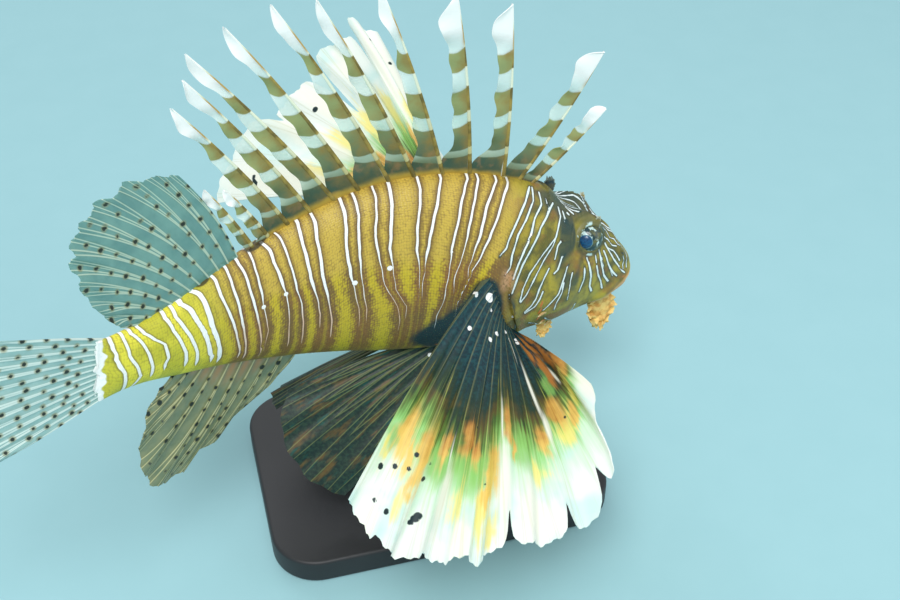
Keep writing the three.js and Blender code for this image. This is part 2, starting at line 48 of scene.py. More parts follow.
class Field:  # a socket that can be used in Python sums
    def __init__(self, look, socket):
        self.look = look
        self.socket = socket

    def maths(self, operation, *values):
        return self.look.node("ShaderNodeMath", {"operation": operation}, values)

    def __add__(self, other):
        return self.maths("ADD", self, other)

    def __sub__(self, other):
        return self.maths("SUBTRACT", self, other)

    def __rsub__(self, other):
        return self.maths("SUBTRACT", other, self)

    def __mul__(self, other):
        return self.maths("MULTIPLY", self, other)

    def __truediv__(self, other):
        return self.maths("DIVIDE", self, other)

    def __abs__(self):
        return self.maths("ABSOLUTE", self)

    __radd__ = __add__
    __rmul__ = __mul__

    def sin(self):
        return self.maths("SINE", self)

    def part(self):  # what is left of a number past its whole part
        return self.maths("FRACT", self)

    def top(self, other):
        return self.maths("MAXIMUM", self, other)

    def ease(self, low, high):  # 0 below low and 1 above high, or the other way round
        if low > high:
            return 1 - self.ease(high, low)
        settings = {"interpolation_type": "SMOOTHSTEP"}
        return self.look.node("ShaderNodeMapRange", settings, {0: self, 1: low, 2: high})


class Look:  # a material whose nodes all come from one method
    def __init__(self, name, **constants):
        self.material = bpy.data.materials.new(name)
        self.material.use_nodes = True
        self.tree = self.material.node_tree
        self.shader = self.tree.nodes["Principled BSDF"]
        for key, value in constants.items():
            self.shader.inputs[key.replace("_", " ")].default_value = value

    def node(self, kind, settings=None, sockets=(), output=0):
        made = self.tree.nodes.new(kind)
        for key, value in (settings or {}).items():
            setattr(made, key, value)
        for key, value in sockets.items() if isinstance(sockets, dict) else enumerate(sockets):
            if isinstance(value, Field):
                self.tree.links.new(value.socket, made.inputs[key])
            else:
                made.inputs[key].default_value = value
        return Field(self, made.outputs[output])

    def where(self):
        return self.node("ShaderNodeTexCoord", output="Object")

    def own(self, name):  # a number that the mesh carries at each point
        return self.node("ShaderNodeAttribute", {"attribute_name": name}, output="Fac")

    def grain(self, scale, detail, vector=None):
        sockets = {"Vector": vector or self.where(), "Scale": scale, "Detail": detail, "Roughness": 0.55}
        return self.node("ShaderNodeTexNoise", None, sockets)

    def cells(self, scale, vector, randomness):
        sockets = {"Vector": vector, "Scale": scale, "Randomness": randomness}
        return self.node("ShaderNodeTexVoronoi", None, sockets)

    def stretched(self, x, y, z):
        scaled = {"operation": "MULTIPLY"}
        return self.node("ShaderNodeVectorMath", scaled, {0: self.where(), 1: (x, y, z)})

    def joined(self, x, y):
        return self.node("ShaderNodeCombineXYZ", None, (x, y, 0.0))

    def mix(self, share, a, b):
        return self.node("ShaderNodeMix", {"data_type": "RGBA"}, {0: share, 6: a, 7: b}, output=2)

    def bump(self, height, distance, strength):
        sockets = {"Height": height, "Distance": distance, "Strength": strength}
        return self.node("ShaderNodeBump", None, sockets)

    def feed(self, **values):
        for key, value in values.items():
            self.tree.links.new(value.socket, self.shader.inputs[key.replace("_", " ")])
        return self.material


def tint(red, green, blue):  # a colour as a screen shows it, 0 to 255
    linear = [((c / 255 + 0.055) / 1.055) ** 2.4 if c > 10 else c / 3295 for c in (red, green, blue)]
    return (*linear, 1)


# Meshes

def gridPiece(name, columns, rows, course):  # a grid whose points course(u, v) lays out
    bpy.ops.object.select_all(action="DESELECT")
    bpy.ops.mesh.primitive_grid_add(x_subdivisions=columns, y_subdivisions=rows, size=1)
    piece = bpy.context.object
    piece.name = piece.data.name = name
    flat = read(piece)
    u, v = flat[:, 0] + 0.5, flat[:, 1] + 0.5
    write(piece, course(u, v))
    return piece, u, v


def read(piece):
    flat = np.empty(len(piece.data.vertices) * 3)
    piece.data.vertices.foreach_get("co", flat)
    return flat.reshape(-1, 3)


def write(piece, points):
    piece.data.vertices.foreach_set("co", np.ascontiguousarray(points, dtype=np.float64).ravel())
    piece.data.update()


def carry(piece, name, values):
    layer = piece.data.attributes.new(name, "FLOAT", "POINT")
    everywhere = np.broadcast_to(values, len(layer.data))
    layer.data.foreach_set("value", np.ascontiguousarray(everywhere, np.float32))


def use(piece, kind, **settings):
    modifier = piece.modifiers.new(kind.title(), kind)
    for key, value in settings.items():
        setattr(modifier, key, value)
    bpy.context.view_layer.objects.active = piece
    bpy.ops.object.modifier_apply(modifier=modifier.name)


def closeUp(piece, distance=1e-6):  # joins the seam and the poles, and turns every face outwards
    bpy.ops.object.select_all(action="DESELECT")
    piece.select_set(True)
    bpy.context.view_layer.objects.active = piece
    bpy.ops.object.mode_set(mode="EDIT")
    bpy.ops.mesh.select_all(action="SELECT")
    bpy.ops.mesh.remove_doubles(threshold=distance)
    bpy.ops.mesh.dissolve_degenerate(threshold=distance)
    bpy.ops.mesh.normals_make_consistent(inside=False)
    bpy.ops.object.mode_set(mode="OBJECT")


def thicken(piece, thickness):  # gives a sheet its thickness at each point, in metres
    most = float(thickness.max())
    group = piece.vertex_groups.new(name="thickness")
    for i, share in enumerate(thickness / most):
        group.add([i], float(share), "REPLACE")
    use(piece, "SOLIDIFY", thickness=most, offset=0, vertex_group="thickness",
        thickness_vertex_group=0.0, use_even_offset=False)
    piece.vertex_groups.clear()


def dress(piece, look, slot, *nodes, angle=60):
    piece.data.materials.clear()
    piece.data.materials.append(look)
    bpy.ops.object.select_all(action="DESELECT")
    piece.select_set(True)
    bpy.context.view_layer.objects.active = piece
    bpy.ops.object.shade_smooth_by_angle(angle=math.radians(angle))
    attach(piece, "root")
    if nodes:
        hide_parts(*nodes)


def join(pieces, name):
    bpy.ops.object.select_all(action="DESELECT")
    for piece in pieces:
        piece.select_set(True)
    bpy.context.view_layer.objects.active = pieces[0]
    bpy.ops.object.join()
    pieces[0].name = pieces[0].data.name = name
    return pieces[0]


def unit(vectors):
    return vectors / np.maximum(np.linalg.norm(vectors, axis=-1, keepdims=True), 1e-12)


def ramp(values, low, high):  # smooth step
    t = np.clip((values - low) / (high - low), 0, 1)
    return t * t * (3 - 2 * t)


def hump(values, middle, reach):
    return np.exp(-((values - middle) / reach) ** 2)


def between(start, end, startSlope, endSlope, t):  # a smooth curve from start to end
    return ((2 * t - 3) * t * t + 1) * start + ((t - 2) * t + 1) * t * startSlope \
        + (3 - 2 * t) * t * t * end + (t - 1) * t * t * endSlope


def keyed(values, share):  # evenly spaced sizes read at any share, on a smooth curve
    values = np.asarray(values, float)
    last = len(values) - 1
    place = np.clip(share, 0, 1) * last
    i = np.minimum(place.astype(int), last - 1)
    t = place - i
    slopes = np.gradient(values)
    return between(values[i], values[i + 1], slopes[i], slopes[i + 1], t)


def column(values):
    return np.asarray(values)[:, None]


def rough(points, scale, seed=0):  # smooth noise, -1 to 1, at each point
    move = Vector((seed * 3.7, seed * 1.3, -seed * 2.1))
    return np.array([noise.noise(Vector(p) * scale + move) for p in points])


# The body's course and sections

body = {
    "length": 241,
    "trunkHeight": 120,
    "flankNarrowing": 0.12,  # how much narrower the back is than the belly
    "stations": [  # from the snout, axis x, y, z, then above, below and half width
        (0, 91.2, 4, -24.5, 2.6, 2.6, 3.2),
        (2.5, 89, 4, -23.6, 6.6, 7, 7),
        (7, 85.3, 4, -22, 10, 11.8, 9.6),
        (14, 79.2, 3.9, -19.6, 14.8, 17.4, 12.2),
        (24, 70.5, 3.6, -16, 20.6, 23.4, 15.4),
        (36, 59.6, 3.1, -12.2, 27.4, 29.4, 18.8),
        (53, 43.2, 2.1, -7.4, 34.5, 35, 21.5),
        (75, 21.6, 0.8, -3, 40, 40, 22),
        (97, 0, 0, 0, 41.5, 41, 20.5),
        (117, -19.9, -1, 1.6, 39.5, 39.5, 18.5),
        (138, -40.6, -4.2, 2.6, 34.5, 34.5, 15.5),
        (160, -61.2, -11.2, 4.4, 28.5, 28, 12.5),
        (180, -78.6, -20.6, 7.4, 22.5, 22, 9.8),
        (200, -94.6, -32, 11.2, 17, 16.5, 7.4),
        (220, -109.6, -44.6, 16.9, 12.8, 12.2, 5.6),
        (232, -118.4, -52.4, 20.3, 11.8, 11, 4.4),
        (241, -125, -58.4, 22.8, 12.2, 11.4, 3.4),
    ],
}
stationTable = np.array(body["stations"], float)
lastStation = len(stationTable) - 1
stationSlopes = []
for i in range(lastStation + 1):
    step = stationTable[min(i + 1, lastStation)] - stationTable[max(i - 1, 0)]
    stationSlopes.append(step / step[0])
stationSlopes = np.array(stationSlopes)


def stationAt(along):  # x, y, z, above, below and half width at any distance
    s = np.clip(along, 0, body["length"])
    i = np.clip(np.searchsorted(stationTable[:, 0], s, side="right") - 1, 0, lastStation - 1)
    width = stationTable[i + 1, 0] - stationTable[i, 0]
    t = column((s - stationTable[i, 0]) / width)
    width = column(width)
    slopes = stationSlopes[i] * width, stationSlopes[i + 1] * width
    return between(stationTable[i], stationTable[i + 1], *slopes, t)[:, 1:]


def axisAt(along):  # centre, forward, left and up
    along = np.atleast_1d(np.asarray(along, float))
    centre = stationAt(along)[:, :3] + (0, 0, body["trunkHeight"])
    forward = unit(stationAt(along - 1.5)[:, :3] - stationAt(along + 1.5)[:, :3])
    left = unit(np.cross((0, 0, 1), forward))
    return centre, forward, left, np.cross(forward, left)


def inBody(along, left, up):
    centre, _, leftward, upward = axisAt(along)
    return centre + leftward * column(np.atleast_1d(left)) + upward * column(np.atleast_1d(up))


eye = {
    "along": 33.2, "left": 9.8, "up": 17.5, "radius": 6.3,
    "gaze": (-0.45, -0.84, 0.29),  # of the right eye
    "socket": (0.12, 0.86, 0.42),  # where the left socket faces
    "opening": 50,  # degrees from the middle of the socket to its rim
    "lid": 0.5, "rimRise": 0.55, "under": 1.2,  # over and under the eyeball's surface
}
mouth = {
    "corner": 17, "frontUp": 1.2, "cornerUp": -14, "depth": 3.0, "width": 0.42, "lip": 1.0, "bone": 1.5,
}
solidForms = 6  # as many of the next forms are the solids' too
headForms = [  # along, degrees above the flank, reach along, reach round, rise
    (33.5, 60, 6.5, 13, 3),
    (28, 90, 12, 14, -4),
    (45, 88, 6, 34, -2.5),
    (32, 14, 9, 11, 1.1),
    (12, 52, 4.5, 16, 1.2),
    (44, -14, 12, 14, 1.2),
    (24.5, 33, 6, 9, 0.7),  # ridge before the eye
    (21, 60, 5, 12, -0.8),
    (48, 20, 5, 16, -0.7),
    (38, -34, 7, 10, 0.9),
    (34, 61, 8, 12, 2.4),  # the brow stands high over the eye
    (31, 90, 4.5, 13, -2.2),
    (20, 80, 7, 22, 1.6),
    (12, 84, 3.5, 16, -0.8),
    (6, 50, 3, 22, 0.8),
]


gill = {
    "along": 51, "reach": 16,
    "middle": 0.1, "spread": 0.72,  # radians above the flank
    "thickness": 0.9, "fall": 3.5,
}


def gillOpening(degrees):  # where the gill cover ends
    return gill["along"] + gill["reach"] * hump(np.radians(degrees), gill["middle"], gill["spread"])


def mouthOver(along, degrees):  # how far above the line of the mouth
    sections = stationAt(along)
    sine = np.sin(np.radians(degrees))
    up = sine * np.where(sine > 0, sections[:, 3], sections[:, 4])
    return 0.73 * (up - mouth["frontUp"] - (mouth["cornerUp"] - mouth["frontUp"]) * along / mouth["corner"])


def headRelief(along, degrees, fine):
    rise = np.zeros(len(along))
    for where, turn, reachAlong, reachRound, height in headForms[:None if fine else solidForms]:
        rise += height * np.exp(-((along - where) / reachAlong) ** 2 - ((degrees - turn) / reachRound) ** 2)
    over = mouthOver(along, degrees)
    inMouth = np.clip((mouth["corner"] - along) / 3, 0, 1)
    rise += mouth["lip"] * np.exp(-((np.abs(over) - 1.5) ** 2) / 1.2) * inMouth
    rise += mouth["bone"] * np.exp(-(((over - 3.2) / 2.2) ** 2) - ((along - 14) / 6) ** 2)
    if fine:
        slit = ramp(mouth["corner"] - along, -0.6, 1.6)
        rise -= mouth["depth"] * np.exp(-(over / mouth["width"]) ** 2) * slit
    edge = (along - gillOpening(degrees)) / gill["fall"]
    rise += np.where(edge < 0.1, gill["thickness"] * np.exp(-edge ** 2), 0)
    return rise * ramp(-along, -72, -69) if fine else np.where(along < 70, rise, 0)


def flankDegrees(angle):  # the height of a point round the body, in degrees above the flank, on either side
    return np.degrees(np.arcsin(np.clip(np.sin(angle), -1, 1)))


def skinPoint(along, angle, out=0.0, relief=True, fine=False):
    along = np.atleast_1d(np.asarray(along, float))
    angle = np.broadcast_to(np.asarray(angle, float), along.shape)
    sections = stationAt(along)
    out = out + (headRelief(along, flankDegrees(angle), fine) if relief else 0)
    high = np.sin(angle)
    height = np.where(high > 0, sections[:, 3], sections[:, 4]) + out
    half = (sections[:, 5] + out) * (1 - body["flankNarrowing"] * high)
    return inBody(along, half * np.cos(angle), height * high)


def onSide(side, along, degrees, out=0.0, fine=False):
    turn = np.radians(degrees)
    return skinPoint(along, turn if side > 0 else np.pi - turn, out, True, fine)


# Markings of the skin. Each line is its full width on the back, its width lower down, the degrees where it
# changes, and its course from the back down as (distance from the snout, degrees above the flank).

trunkLines = [
    (1.7, 1.7, 0, [(237, 60), (236, 20), (233, -10), (232.5, -30), (232, -60)]),
    (1.6, 1.6, 0, [(232, 60), (231, 20), (227.5, -10), (226, -30), (228, -60)]),
    (1.6, 1.6, 0, [(228.6, 65), (225.5, 35), (223, 10), (221, -18), (221, -30)]),
    (1.6, 1.6, 0, [(225, 75), (223.5, 50), (220, 30), (216, 15), (214.5, -10), (215.5, -20)]),
    (1.8, 1.8, 0, [(214, 60), (211.7, 30), (209, 10), (206.5, -10), (205.8, -25)]),
    (1.8, 1.7, 0, [(210, 50), (207.5, 30), (203.7, 5), (201.3, -15), (200.5, -30)]),
    (2.6, 2.2, 0, [(206, 70), (203, 50), (201.2, 30), (198.3, 10), (196.8, -5), (195, -25), (194, -30)]),
    (2.6, 2.2, 0, [(199, 85), (197, 65), (196, 45), (194.8, 15), (192.7, -5), (191.2, -20), (190.5, -35)]),
    (1.5, 1.1, 0, [(189, 85), (188.6, 70), (188.8, 45), (187.1, 25), (185, 5), (183.6, -10), (181, -35)]),
    (1.3, 0.9, 0, [(182.5, 90), (182.9, 70), (183.2, 50), (182.3, 30), (181.2, 5), (179.7, -15),
                   (178, -40)]),
    (1.3, 0.8, 0, [(177.5, 90), (177.8, 72), (177, 50), (176.2, 30), (175, 12), (172.5, -18), (171, -40)]),
    (1.0, 0.4, 22, [(172, 85), (172.4, 70), (172.5, 52), (172, 35), (171.5, 12), (169.5, -12), (170, -30)]),
    (1.6, 0.5, 26, [(166, 82), (164.3, 65), (164.3, 50), (163, 37), (161, 17), (160.3, 8), (159.5, -28)]),
    (1.0, 0.6, 18, [(159, 88), (157.9, 60), (157.4, 42), (156.6, 30), (155.9, 18), (154.2, 5),
                    (153.5, -25)]),
    (1.6, 0.6, 16, [(149, 80), (150, 63), (150, 48), (149.4, 24), (148, 12), (147, 3), (146.3, -8)]),
    (1.5, 0.7, 8, [(142.9, 70), (144.1, 52), (144, 35), (144.2, 22), (142, 0), (141.5, -8), (141, -20)]),
    (1.5, 0.35, 16, [(130, 75), (130, 62), (131.5, 45), (132, 32), (131.5, 18), (129.5, 0), (128.5, -12)]),
    (1.2, 0.35, 24, [(125, 78), (125, 60), (126, 48), (126.6, 37), (127, 25), (127, 12), (125.5, -8)]),
    (1.0, 0.3, 25, [(118, 68), (119, 52), (120.2, 40), (119.6, 27), (118, 8), (112, -8), (110.5, -18)]),
    (1.4, 0.25, 26, [(112, 75), (112.5, 60), (114.2, 42), (115.1, 30), (113, 4), (108, -8)]),
    (1.0, 0.22, 22, [(101.8, 70), (103, 52), (103.8, 40), (104.4, 27), (103.7, 20), (103, 2)]),
    (1.1, 0.2, 24, [(93.7, 82), (96.3, 60), (98, 46), (99.5, 35), (101, 22), (102, 6)]),
    (1.0, 0.3, 24, [(84, 80), (87, 62), (88.6, 48), (90.3, 35), (91.5, 25), (92.5, 5), (93, -5),
                    (95, -17)]),
    (1.0, 0.3, 34, [(80.3, 80), (82.3, 62), (84.4, 45), (85, 41), (86.5, 27), (89.5, 10)]),
    (1.1, 0.22, 30, [(73.3, 80), (76, 66), (78.9, 50), (80.2, 40), (81.5, 31), (84.5, 16)]),
    (1.1, 0.5, 26, [(68.6, 80), (72.1, 60), (74.8, 45), (77.2, 33), (80.4, 21), (83, 13), (86, -1),
                    (87.5, -9)]),
]
headLines = [  # width and course
    (0.8, [(60, 80), (62.9, 62), (66.2, 47), (68.9, 36), (70, 31), (70.5, 27), (73, 22)]),
    (0.7, [(59, 80), (59.6, 64), (63, 47), (66.1, 36), (68, 22), (68, 15), (70, 10)]),
    (0.8, [(56.5, 75), (56.3, 62), (59.5, 49), (60.8, 37), (63.5, 26), (65.3, 17), (66.5, 8)]),
    (0.9, [(51.5, 66), (55, 50), (57.3, 42), (58, 37), (60.5, 27), (63.2, 17), (64.5, 9), (66, -2)]),
    (0.8, [(49, 65), (48.3, 56), (49.3, 46), (50, 38)]),
    (0.55, [(50, 38), (52.5, 30), (56.3, 20), (59.5, 10), (61, 0), (61, -9), (60.5, -10)]),
    (0.55, [(50, 38), (50.8, 31), (54, 20), (56, 11), (57.5, 3), (58.8, -5), (60.5, -10)]),
    (0.7, [(47, 63), (46.3, 54), (46.6, 44), (46.5, 39), (48.8, 31), (49, 21)]),
    (0.65, [(45.7, 29), (46.3, 19), (46.8, 13), (48.2, 10)]),
    (0.6, [(51, 14), (52.5, 6), (53.5, -1), (53.8, -8), (54.8, -14), (57, -20)]),
    (0.6, [(51.5, -3), (52, -9), (53, -15), (56.5, -21)]),
    (0.55, [(43, 26), (42.8, 18), (43, 9), (43.2, 2), (43.5, -6), (46, -13), (48, -20)]),
    (0.55, [(41, 31), (40.6, 21), (39.8, 14), (39.5, 6), (38.7, -2), (37.5, -13)]),
    (0.55, [(42.5, 3), (42, -5), (43, -14), (42, -22)]),
    (0.65, [(36, 25), (33.8, 15), (32.2, 5), (32, -8)]),
    (1.0, [(33.5, 26), (31, 17), (28.5, 8), (26.5, -4), (23.5, -12)]),
    (0.6, [(29, 30), (27.5, 23)]),
    (0.65, [(27, 20), (24.3, 10), (20.5, 0), (17, -12)]),
    (0.8, [(27.8, 38), (24, 22), (20.3, 9), (15.5, -1)]),
    (0.8, [(24.5, 38), (19.5, 24), (15, 15), (11, 8)]),
    (0.7, [(24, 48), (20.5, 40), (17, 34), (11, 26)]),
    (0.7, [(45, 63), (42.5, 53), (41.3, 47), (42.3, 41), (42.8, 36)]),
    (0.7, [(39.6, 53), (37, 51), (34.5, 52)]),
    (0.6, [(48, 88), (42, 82), (37, 80), (32, 81), (28, 85)]),
    (0.6, [(47.5, 84), (42, 75), (37, 72), (32, 73), (28, 78)]),
    (0.6, [(46.5, 79), (42, 68), (38, 64), (34, 64), (30, 68)]),
    (0.6, [(45, 72), (42, 61), (39, 56), (37, 56)]),
    (0.5, [(37, 66), (33, 68), (30, 74)]),
    (0.5, [(25, 88), (22, 83), (19, 86), (16, 81), (12, 84), (9, 80)]),
    (0.5, [(28, 72), (25, 75), (22, 71), (19, 75), (16, 70), (12, 72)]),
    (0.5, [(27, 63), (24, 66), (21, 61), (18, 64), (15, 60), (13, 62)]),
    (0.5, [(26, 54), (22, 56), (19, 52), (16, 55)]),
    (0.5, [(22, 44), (18, 45), (15, 41), (12, 36)]),
    (0.5, [(10, 72), (8, 64), (7, 52), (7, 40), (6, 30)]),
    (0.5, [(14, 30), (10, 22), (6, 16)]),
    (0.5, [(11, 50), (9, 42), (9, 32), (8, 24)]),
    (0.5, [(66.8, -2), (65.8, -8), (64.5, -14), (62.8, -19)]),
    (0.5, [(66, -6), (64, -10.5), (62.8, -15), (62, -19)]),
    (0.5, [(66.5, -23), (64.5, -21), (62, -22)]),
    (0.4, [(54, 70), (53.5, 60), (54.5, 54)]),
    (0.4, [(36.5, 47), (38, 42), (38.5, 34)]),
    (0.4, [(25, 30), (22.5, 20)]),
    (0.4, [(21, 28), (17.5, 18), (14, 8)]),
    (0.5, [(51, -36), (46, -42), (42, -52), (40, -66)]),
    (0.5, [(44, -32), (38, -42), (35, -55), (33, -70)]),
    (0.5, [(30, -24), (28, -40), (27, -58), (27, -74)]),
    (0.5, [(58, -34), (55, -48), (52, -62), (50, -78)]),
]


finRootPatches = [  # dark skin round the root of the pectoral fin: along, degrees, reaches, strength
    (77, -2, 5, 9, 1.0), (75, -18, 6, 20, 1.2), (84, -24, 9, 17, 1.0), (93, -38, 13, 16, 1.0),
    (70, -42, 6, 20, 0.9), (80, -62, 16, 24, 0.7),
]
orangePatches = [(50.3, -13, 0.6, 4, 1.0), (49.3, -21, 0.7, 5, 1.0), (47.4, -31, 0.7, 6, 0.9),
                 (84, -46, 2, 5, 0.7), (90, -52, 3, 5, 0.6), (6, 6, 2.5, 7, 0.6)]
darkPatches = [(193, 89, 3.6, 13, 1.3), (169, 86, 4.2, 9, 1.3), (163, 90, 6, 6, 0.6)]
headPatches = [
    (47, 50, 2.2, 22, 1.0), (46, 24, 2.6, 18, 0.8), (42, 2, 2.5, 16, 0.8), (37, 10, 2.2, 20, 0.7),
    (30, 12, 1.6, 16, 0.5), (54, 40, 1.2, 22, 0.5), (50, 72, 9, 16, 1.0), (38, 78, 9, 18, 0.9),
    (24, 74, 7, 20, 0.7), (30, 46, 4, 10, 0.7), (59, -14, 3, 20, 0.6), (48, -34, 8, 14, 0.5),
    (66, -4, 3, 14, 0.7), (20, 20, 2, 14, 0.4), (13, 30, 3, 12, 0.4), (33, -14, 3, 14, 0.5),
]


def lineDistance(points, side):  # from each point to the edge of the nearest line, below 0 inside it
    best = np.full(len(points), 99.0)
    for width, line in headLines:
        course = fineCourse(np.array(line, float), side)
        for a, b in zip(course[:-1], course[1:]):
            run = b - a
            t = np.clip((points - a) @ run / max(run @ run, 1e-9), 0, 1)
            best = np.minimum(best, np.linalg.norm(points - a - column(t) * run, axis=1) - width / 2)
    return best


def fineCourse(course, side):  # a line's points laid on the skin, close together
    steps = np.linspace(0, len(course) - 1, 4 * len(course) - 3)
    whole = np.arange(len(course))
    along, degrees = np.interp(steps, whole, course[:, 0]), np.interp(steps, whole, course[:, 1])
    return onSide(side, along, degrees, 0, True)


skin = {
    "sides": 276,
    "headStep": 0.42, "headEnd": 76, "bodyStep": 1.0,
    "tailTaper": (234, 242.5), "tailHalf": 0.7,
    "noseBulge": 0.5, "noseRings": 6,
    "finBase": 2.0,
}


def skinPlaces():
    head = np.arange(0, skin["headEnd"], skin["headStep"])
    rings = int((skin["tailTaper"][1] - skin["headEnd"]) / skin["bodyStep"])
    return np.concatenate([head, np.linspace(skin["headEnd"], skin["tailTaper"][1], rings)])


def skinPiece():
    places = skinPlaces()
    nose = skin["noseRings"]
    rows = len(places) + nose + 1
    ring = np.concatenate([-np.arange(nose, 0, -1) / nose, places, [999]])
    memory = {}

    def course(u, v):
        row = np.rint(v * (rows - 1)).astype(int)
        angle = 2 * np.pi * u - np.pi / 2
        along = ring[row]
        onNose = along < 0
        onEnd = along > 900
        at = np.clip(along, 0, skin["tailTaper"][1])
        points = skinPoint(at, angle, 0, True, True)
        degrees = flankDegrees(angle)
        centre, forward, left = axisAt(at)[:3]
        high = np.sin(angle)
        # the stalk thins over the root of the tail fin, with a wavy end
        wave = 0.9 * np.sin(high * 9 + 0.6) + 0.5 * np.sin(high * 21)
        past = at + np.where(at > skin["tailTaper"][0], wave * (at - skin["tailTaper"][0]) / 8.5, 0)
        thin = ramp(past, *skin["tailTaper"])
        sideways = np.sum((points - centre) * left, axis=1)
        half = np.abs(sideways)
        target = half * (1 - thin) + np.minimum(half, skin["tailHalf"]) * thin
        points += left * column(np.sign(sideways) * (target - half))
        beyond = np.where(at > 234, (at - 234) / 8.5 * (wave + np.maximum(at - body["length"], 0)), 0)
        points -= forward * column(beyond)
        # the fleshy root of the pectoral fin
        rootAlong = 61 + 13 * np.clip((degrees + 48) / 58, 0, 1)
        lump = skin["finBase"] * hump(at, rootAlong, 4.5) * hump(degrees, -19, 30)
        away = points - centre
        points += away * column(lump / np.maximum(np.linalg.norm(away, axis=1), 1))
        for side in (1, -1):
            points = eyeSocket(points, side)
        nostrils(points)
        # the nose closes in a round cap and the tail in a flat one
        t = np.clip(-along, 0, 1)
        shrink = np.where(onNose, np.cos(t * np.pi / 2), np.where(onEnd, 0, 1))
        points = centre + (points - centre) * column(shrink)
        points += forward * column(np.where(onNose, skin["noseBulge"] * np.sin(t * np.pi / 2), 0))
        points -= forward * column(np.where(onEnd, 1.2, 0))
        girth = 0.5 * (stationAt(at)[:, 3] + stationAt(at)[:, 5])
        memory.update(along=at, degrees=degrees, left=np.cos(angle) > 0, points=points, arc=angle * girth)
        return points * mm

    piece, u, v = gridPiece("lionfish_skin", skin["sides"], rows - 1, course)
    return piece, memory


def nostrils(points):
    for side in (1, -1):
        hole = onSide(side, 11.5, 50, 0.9, True)[0]
        distance = np.linalg.norm(points - hole, axis=1)
        inward = axisAt(11.5)[0][0] - hole
        inward /= np.linalg.norm(inward)
        hollow = 1.3 * hump(distance, 0, 0.75) - 0.55 * hump(distance, 1.6, 0.6)
        points += inward * column(hollow)


def eyeCentre(side):
    return inBody(eye["along"], side * eye["left"], eye["up"])[0]


def gazeOf(side):
    gaze = np.array(eye["gaze"]) * (1, -side, 1)
    return gaze / np.linalg.norm(gaze)


def eyeSocket(points, side):  # draws the skin under the eyeball inside its opening, with a rounded rim
    centre = eyeCentre(side)
    outward = np.array(eye["socket"]) * (1, side, 1)
    outward /= np.linalg.norm(outward)
    away = points - centre
    distance = np.linalg.norm(away, axis=1)
    near = distance < 16
    angle = np.degrees(np.arccos(np.clip(away @ outward / np.maximum(distance, 1e-6), -1, 1)))
    radius = eye["radius"]
    inside = ramp(angle, eye["opening"] + 7, eye["opening"])
    rim = hump(angle, eye["opening"] + 11, 7)
    lidRadius = radius + eye["lid"] + eye["rimRise"] * rim
    close = ramp(angle, 92, eye["opening"] + 10) * near
    onLid = angle < eye["opening"] + 26
    target = np.where(onLid, np.minimum(distance, lidRadius + 0.1 * np.maximum(angle - 61, 0)), distance)
    target = np.maximum(target, np.where(onLid, radius + eye["lid"], 0))
    blended = distance + (target - distance) * close
    blended = blended * (1 - inside) + (radius - eye["under"]) * inside
    blended = np.where(near & (angle < 92), blended, distance)
    return centre + away * column(blended / np.maximum(distance, 1e-6))


def markSkin(piece, memory):
    along, degrees, left = memory["along"], memory["degrees"], memory["left"]
    points = memory["points"]
    lines = sorted(trunkLines, key=lambda line: line[3][0][0])
    courses, widths = [], []
    for top, low, turn, course in lines:
        ordered = sorted((d, a) for a, d in course)
        places, stops = [d for d, _ in ordered], [a for _, a in ordered]
        courses.append(np.interp(degrees, places, stops))
        width = low + (top - low) * ramp(degrees, turn - 9, turn + 5)
        widths.append(0.41 * width * ramp(degrees, places[0] - 16, places[0] - 2))
    courses = np.array([courses[0] - 9] + courses + [courses[-1] + 9])
    widths = np.array([np.zeros(len(along))] + widths + [np.zeros(len(along))])
    for k in range(1, len(courses)):
        courses[k] = np.maximum(courses[k], courses[k - 1] + 0.6)
    wobble = 0.35 * rough(points, 0.22, 5)
    shifted = along + wobble
    k = np.clip((courses <= shifted).sum(axis=0) - 1, 0, len(courses) - 2)
    here = np.arange(len(along))
    space = courses[k + 1, here] - courses[k, here]
    past = np.clip(shifted - courses[k, here], 0, space)
    near = np.minimum(1.6, 0.4 * space)
    middle = near / 10 + (past - near) / np.maximum(space - 2 * near, 0.05) * (1 - near / 5)
    share = np.where(past < near, past / 10, np.where(past > space - near, 1 - (space - past) / 10, middle))
    carry(piece, "bar", k + share)  # each line is a whole number, and a tenth beside it is 1 mm
    carry(piece, "barSpace", space)
    first = past < space / 2
    carry(piece, "lineHalf", np.where(first, widths[k, here], widths[k + 1, here]))
    carry(piece, "along", along)
    carry(piece, "degrees", degrees)
    head = along < skin["headEnd"]
    distance = np.full(len(along), 9.0)
    for side in (1, -1):
        mine = head & (left == (side > 0))
        distance[mine] = lineDistance(points[mine], side)
    carry(piece, "headLine", distance)
    carry(piece, "mouthOver", np.where(along < 24, mouthOver(along, degrees), 20))
    base = np.min([np.linalg.norm(points - eyeCentre(side), axis=1) for side in (1, -1)], axis=0)
    carry(piece, "fromEye", base)
    blobs = np.full(len(along), 9.0)
    spots = [(61.8, -21.5, 1.1), (67, 0.5, 0.5), (69.5, -13, 0.7), (115.5, 18, 1.1), (130, 12, 1.1),
             (161, 17, 0.9), (171.5, 12, 0.9), (91.5, 25, 0.6), (81.5, 31, 0.6), (60.8, 37, 0.6),
             (74, -30, 0.8), (79, -22, 0.7)]
    for where, turn, radius in spots:
        for side in (1, -1):
            spot = onSide(side, where, turn, 0, True)[0]
            blobs = np.minimum(blobs, np.linalg.norm(points - spot, axis=1) - radius)
    carry(piece, "blob", blobs)
    groups = {
        "finRoot": finRootPatches, "headDark": headPatches, "dark": darkPatches, "orange": orangePatches,
    }
    for name, patches in groups.items():
        amount = np.zeros(len(along))
        for where, turn, reachAlong, reachRound, strength in patches:
            amount += strength * hump(along, where, reachAlong) * hump(degrees, turn, reachRound)
        carry(piece, name, amount)
    carry(piece, "arc", memory["arc"])


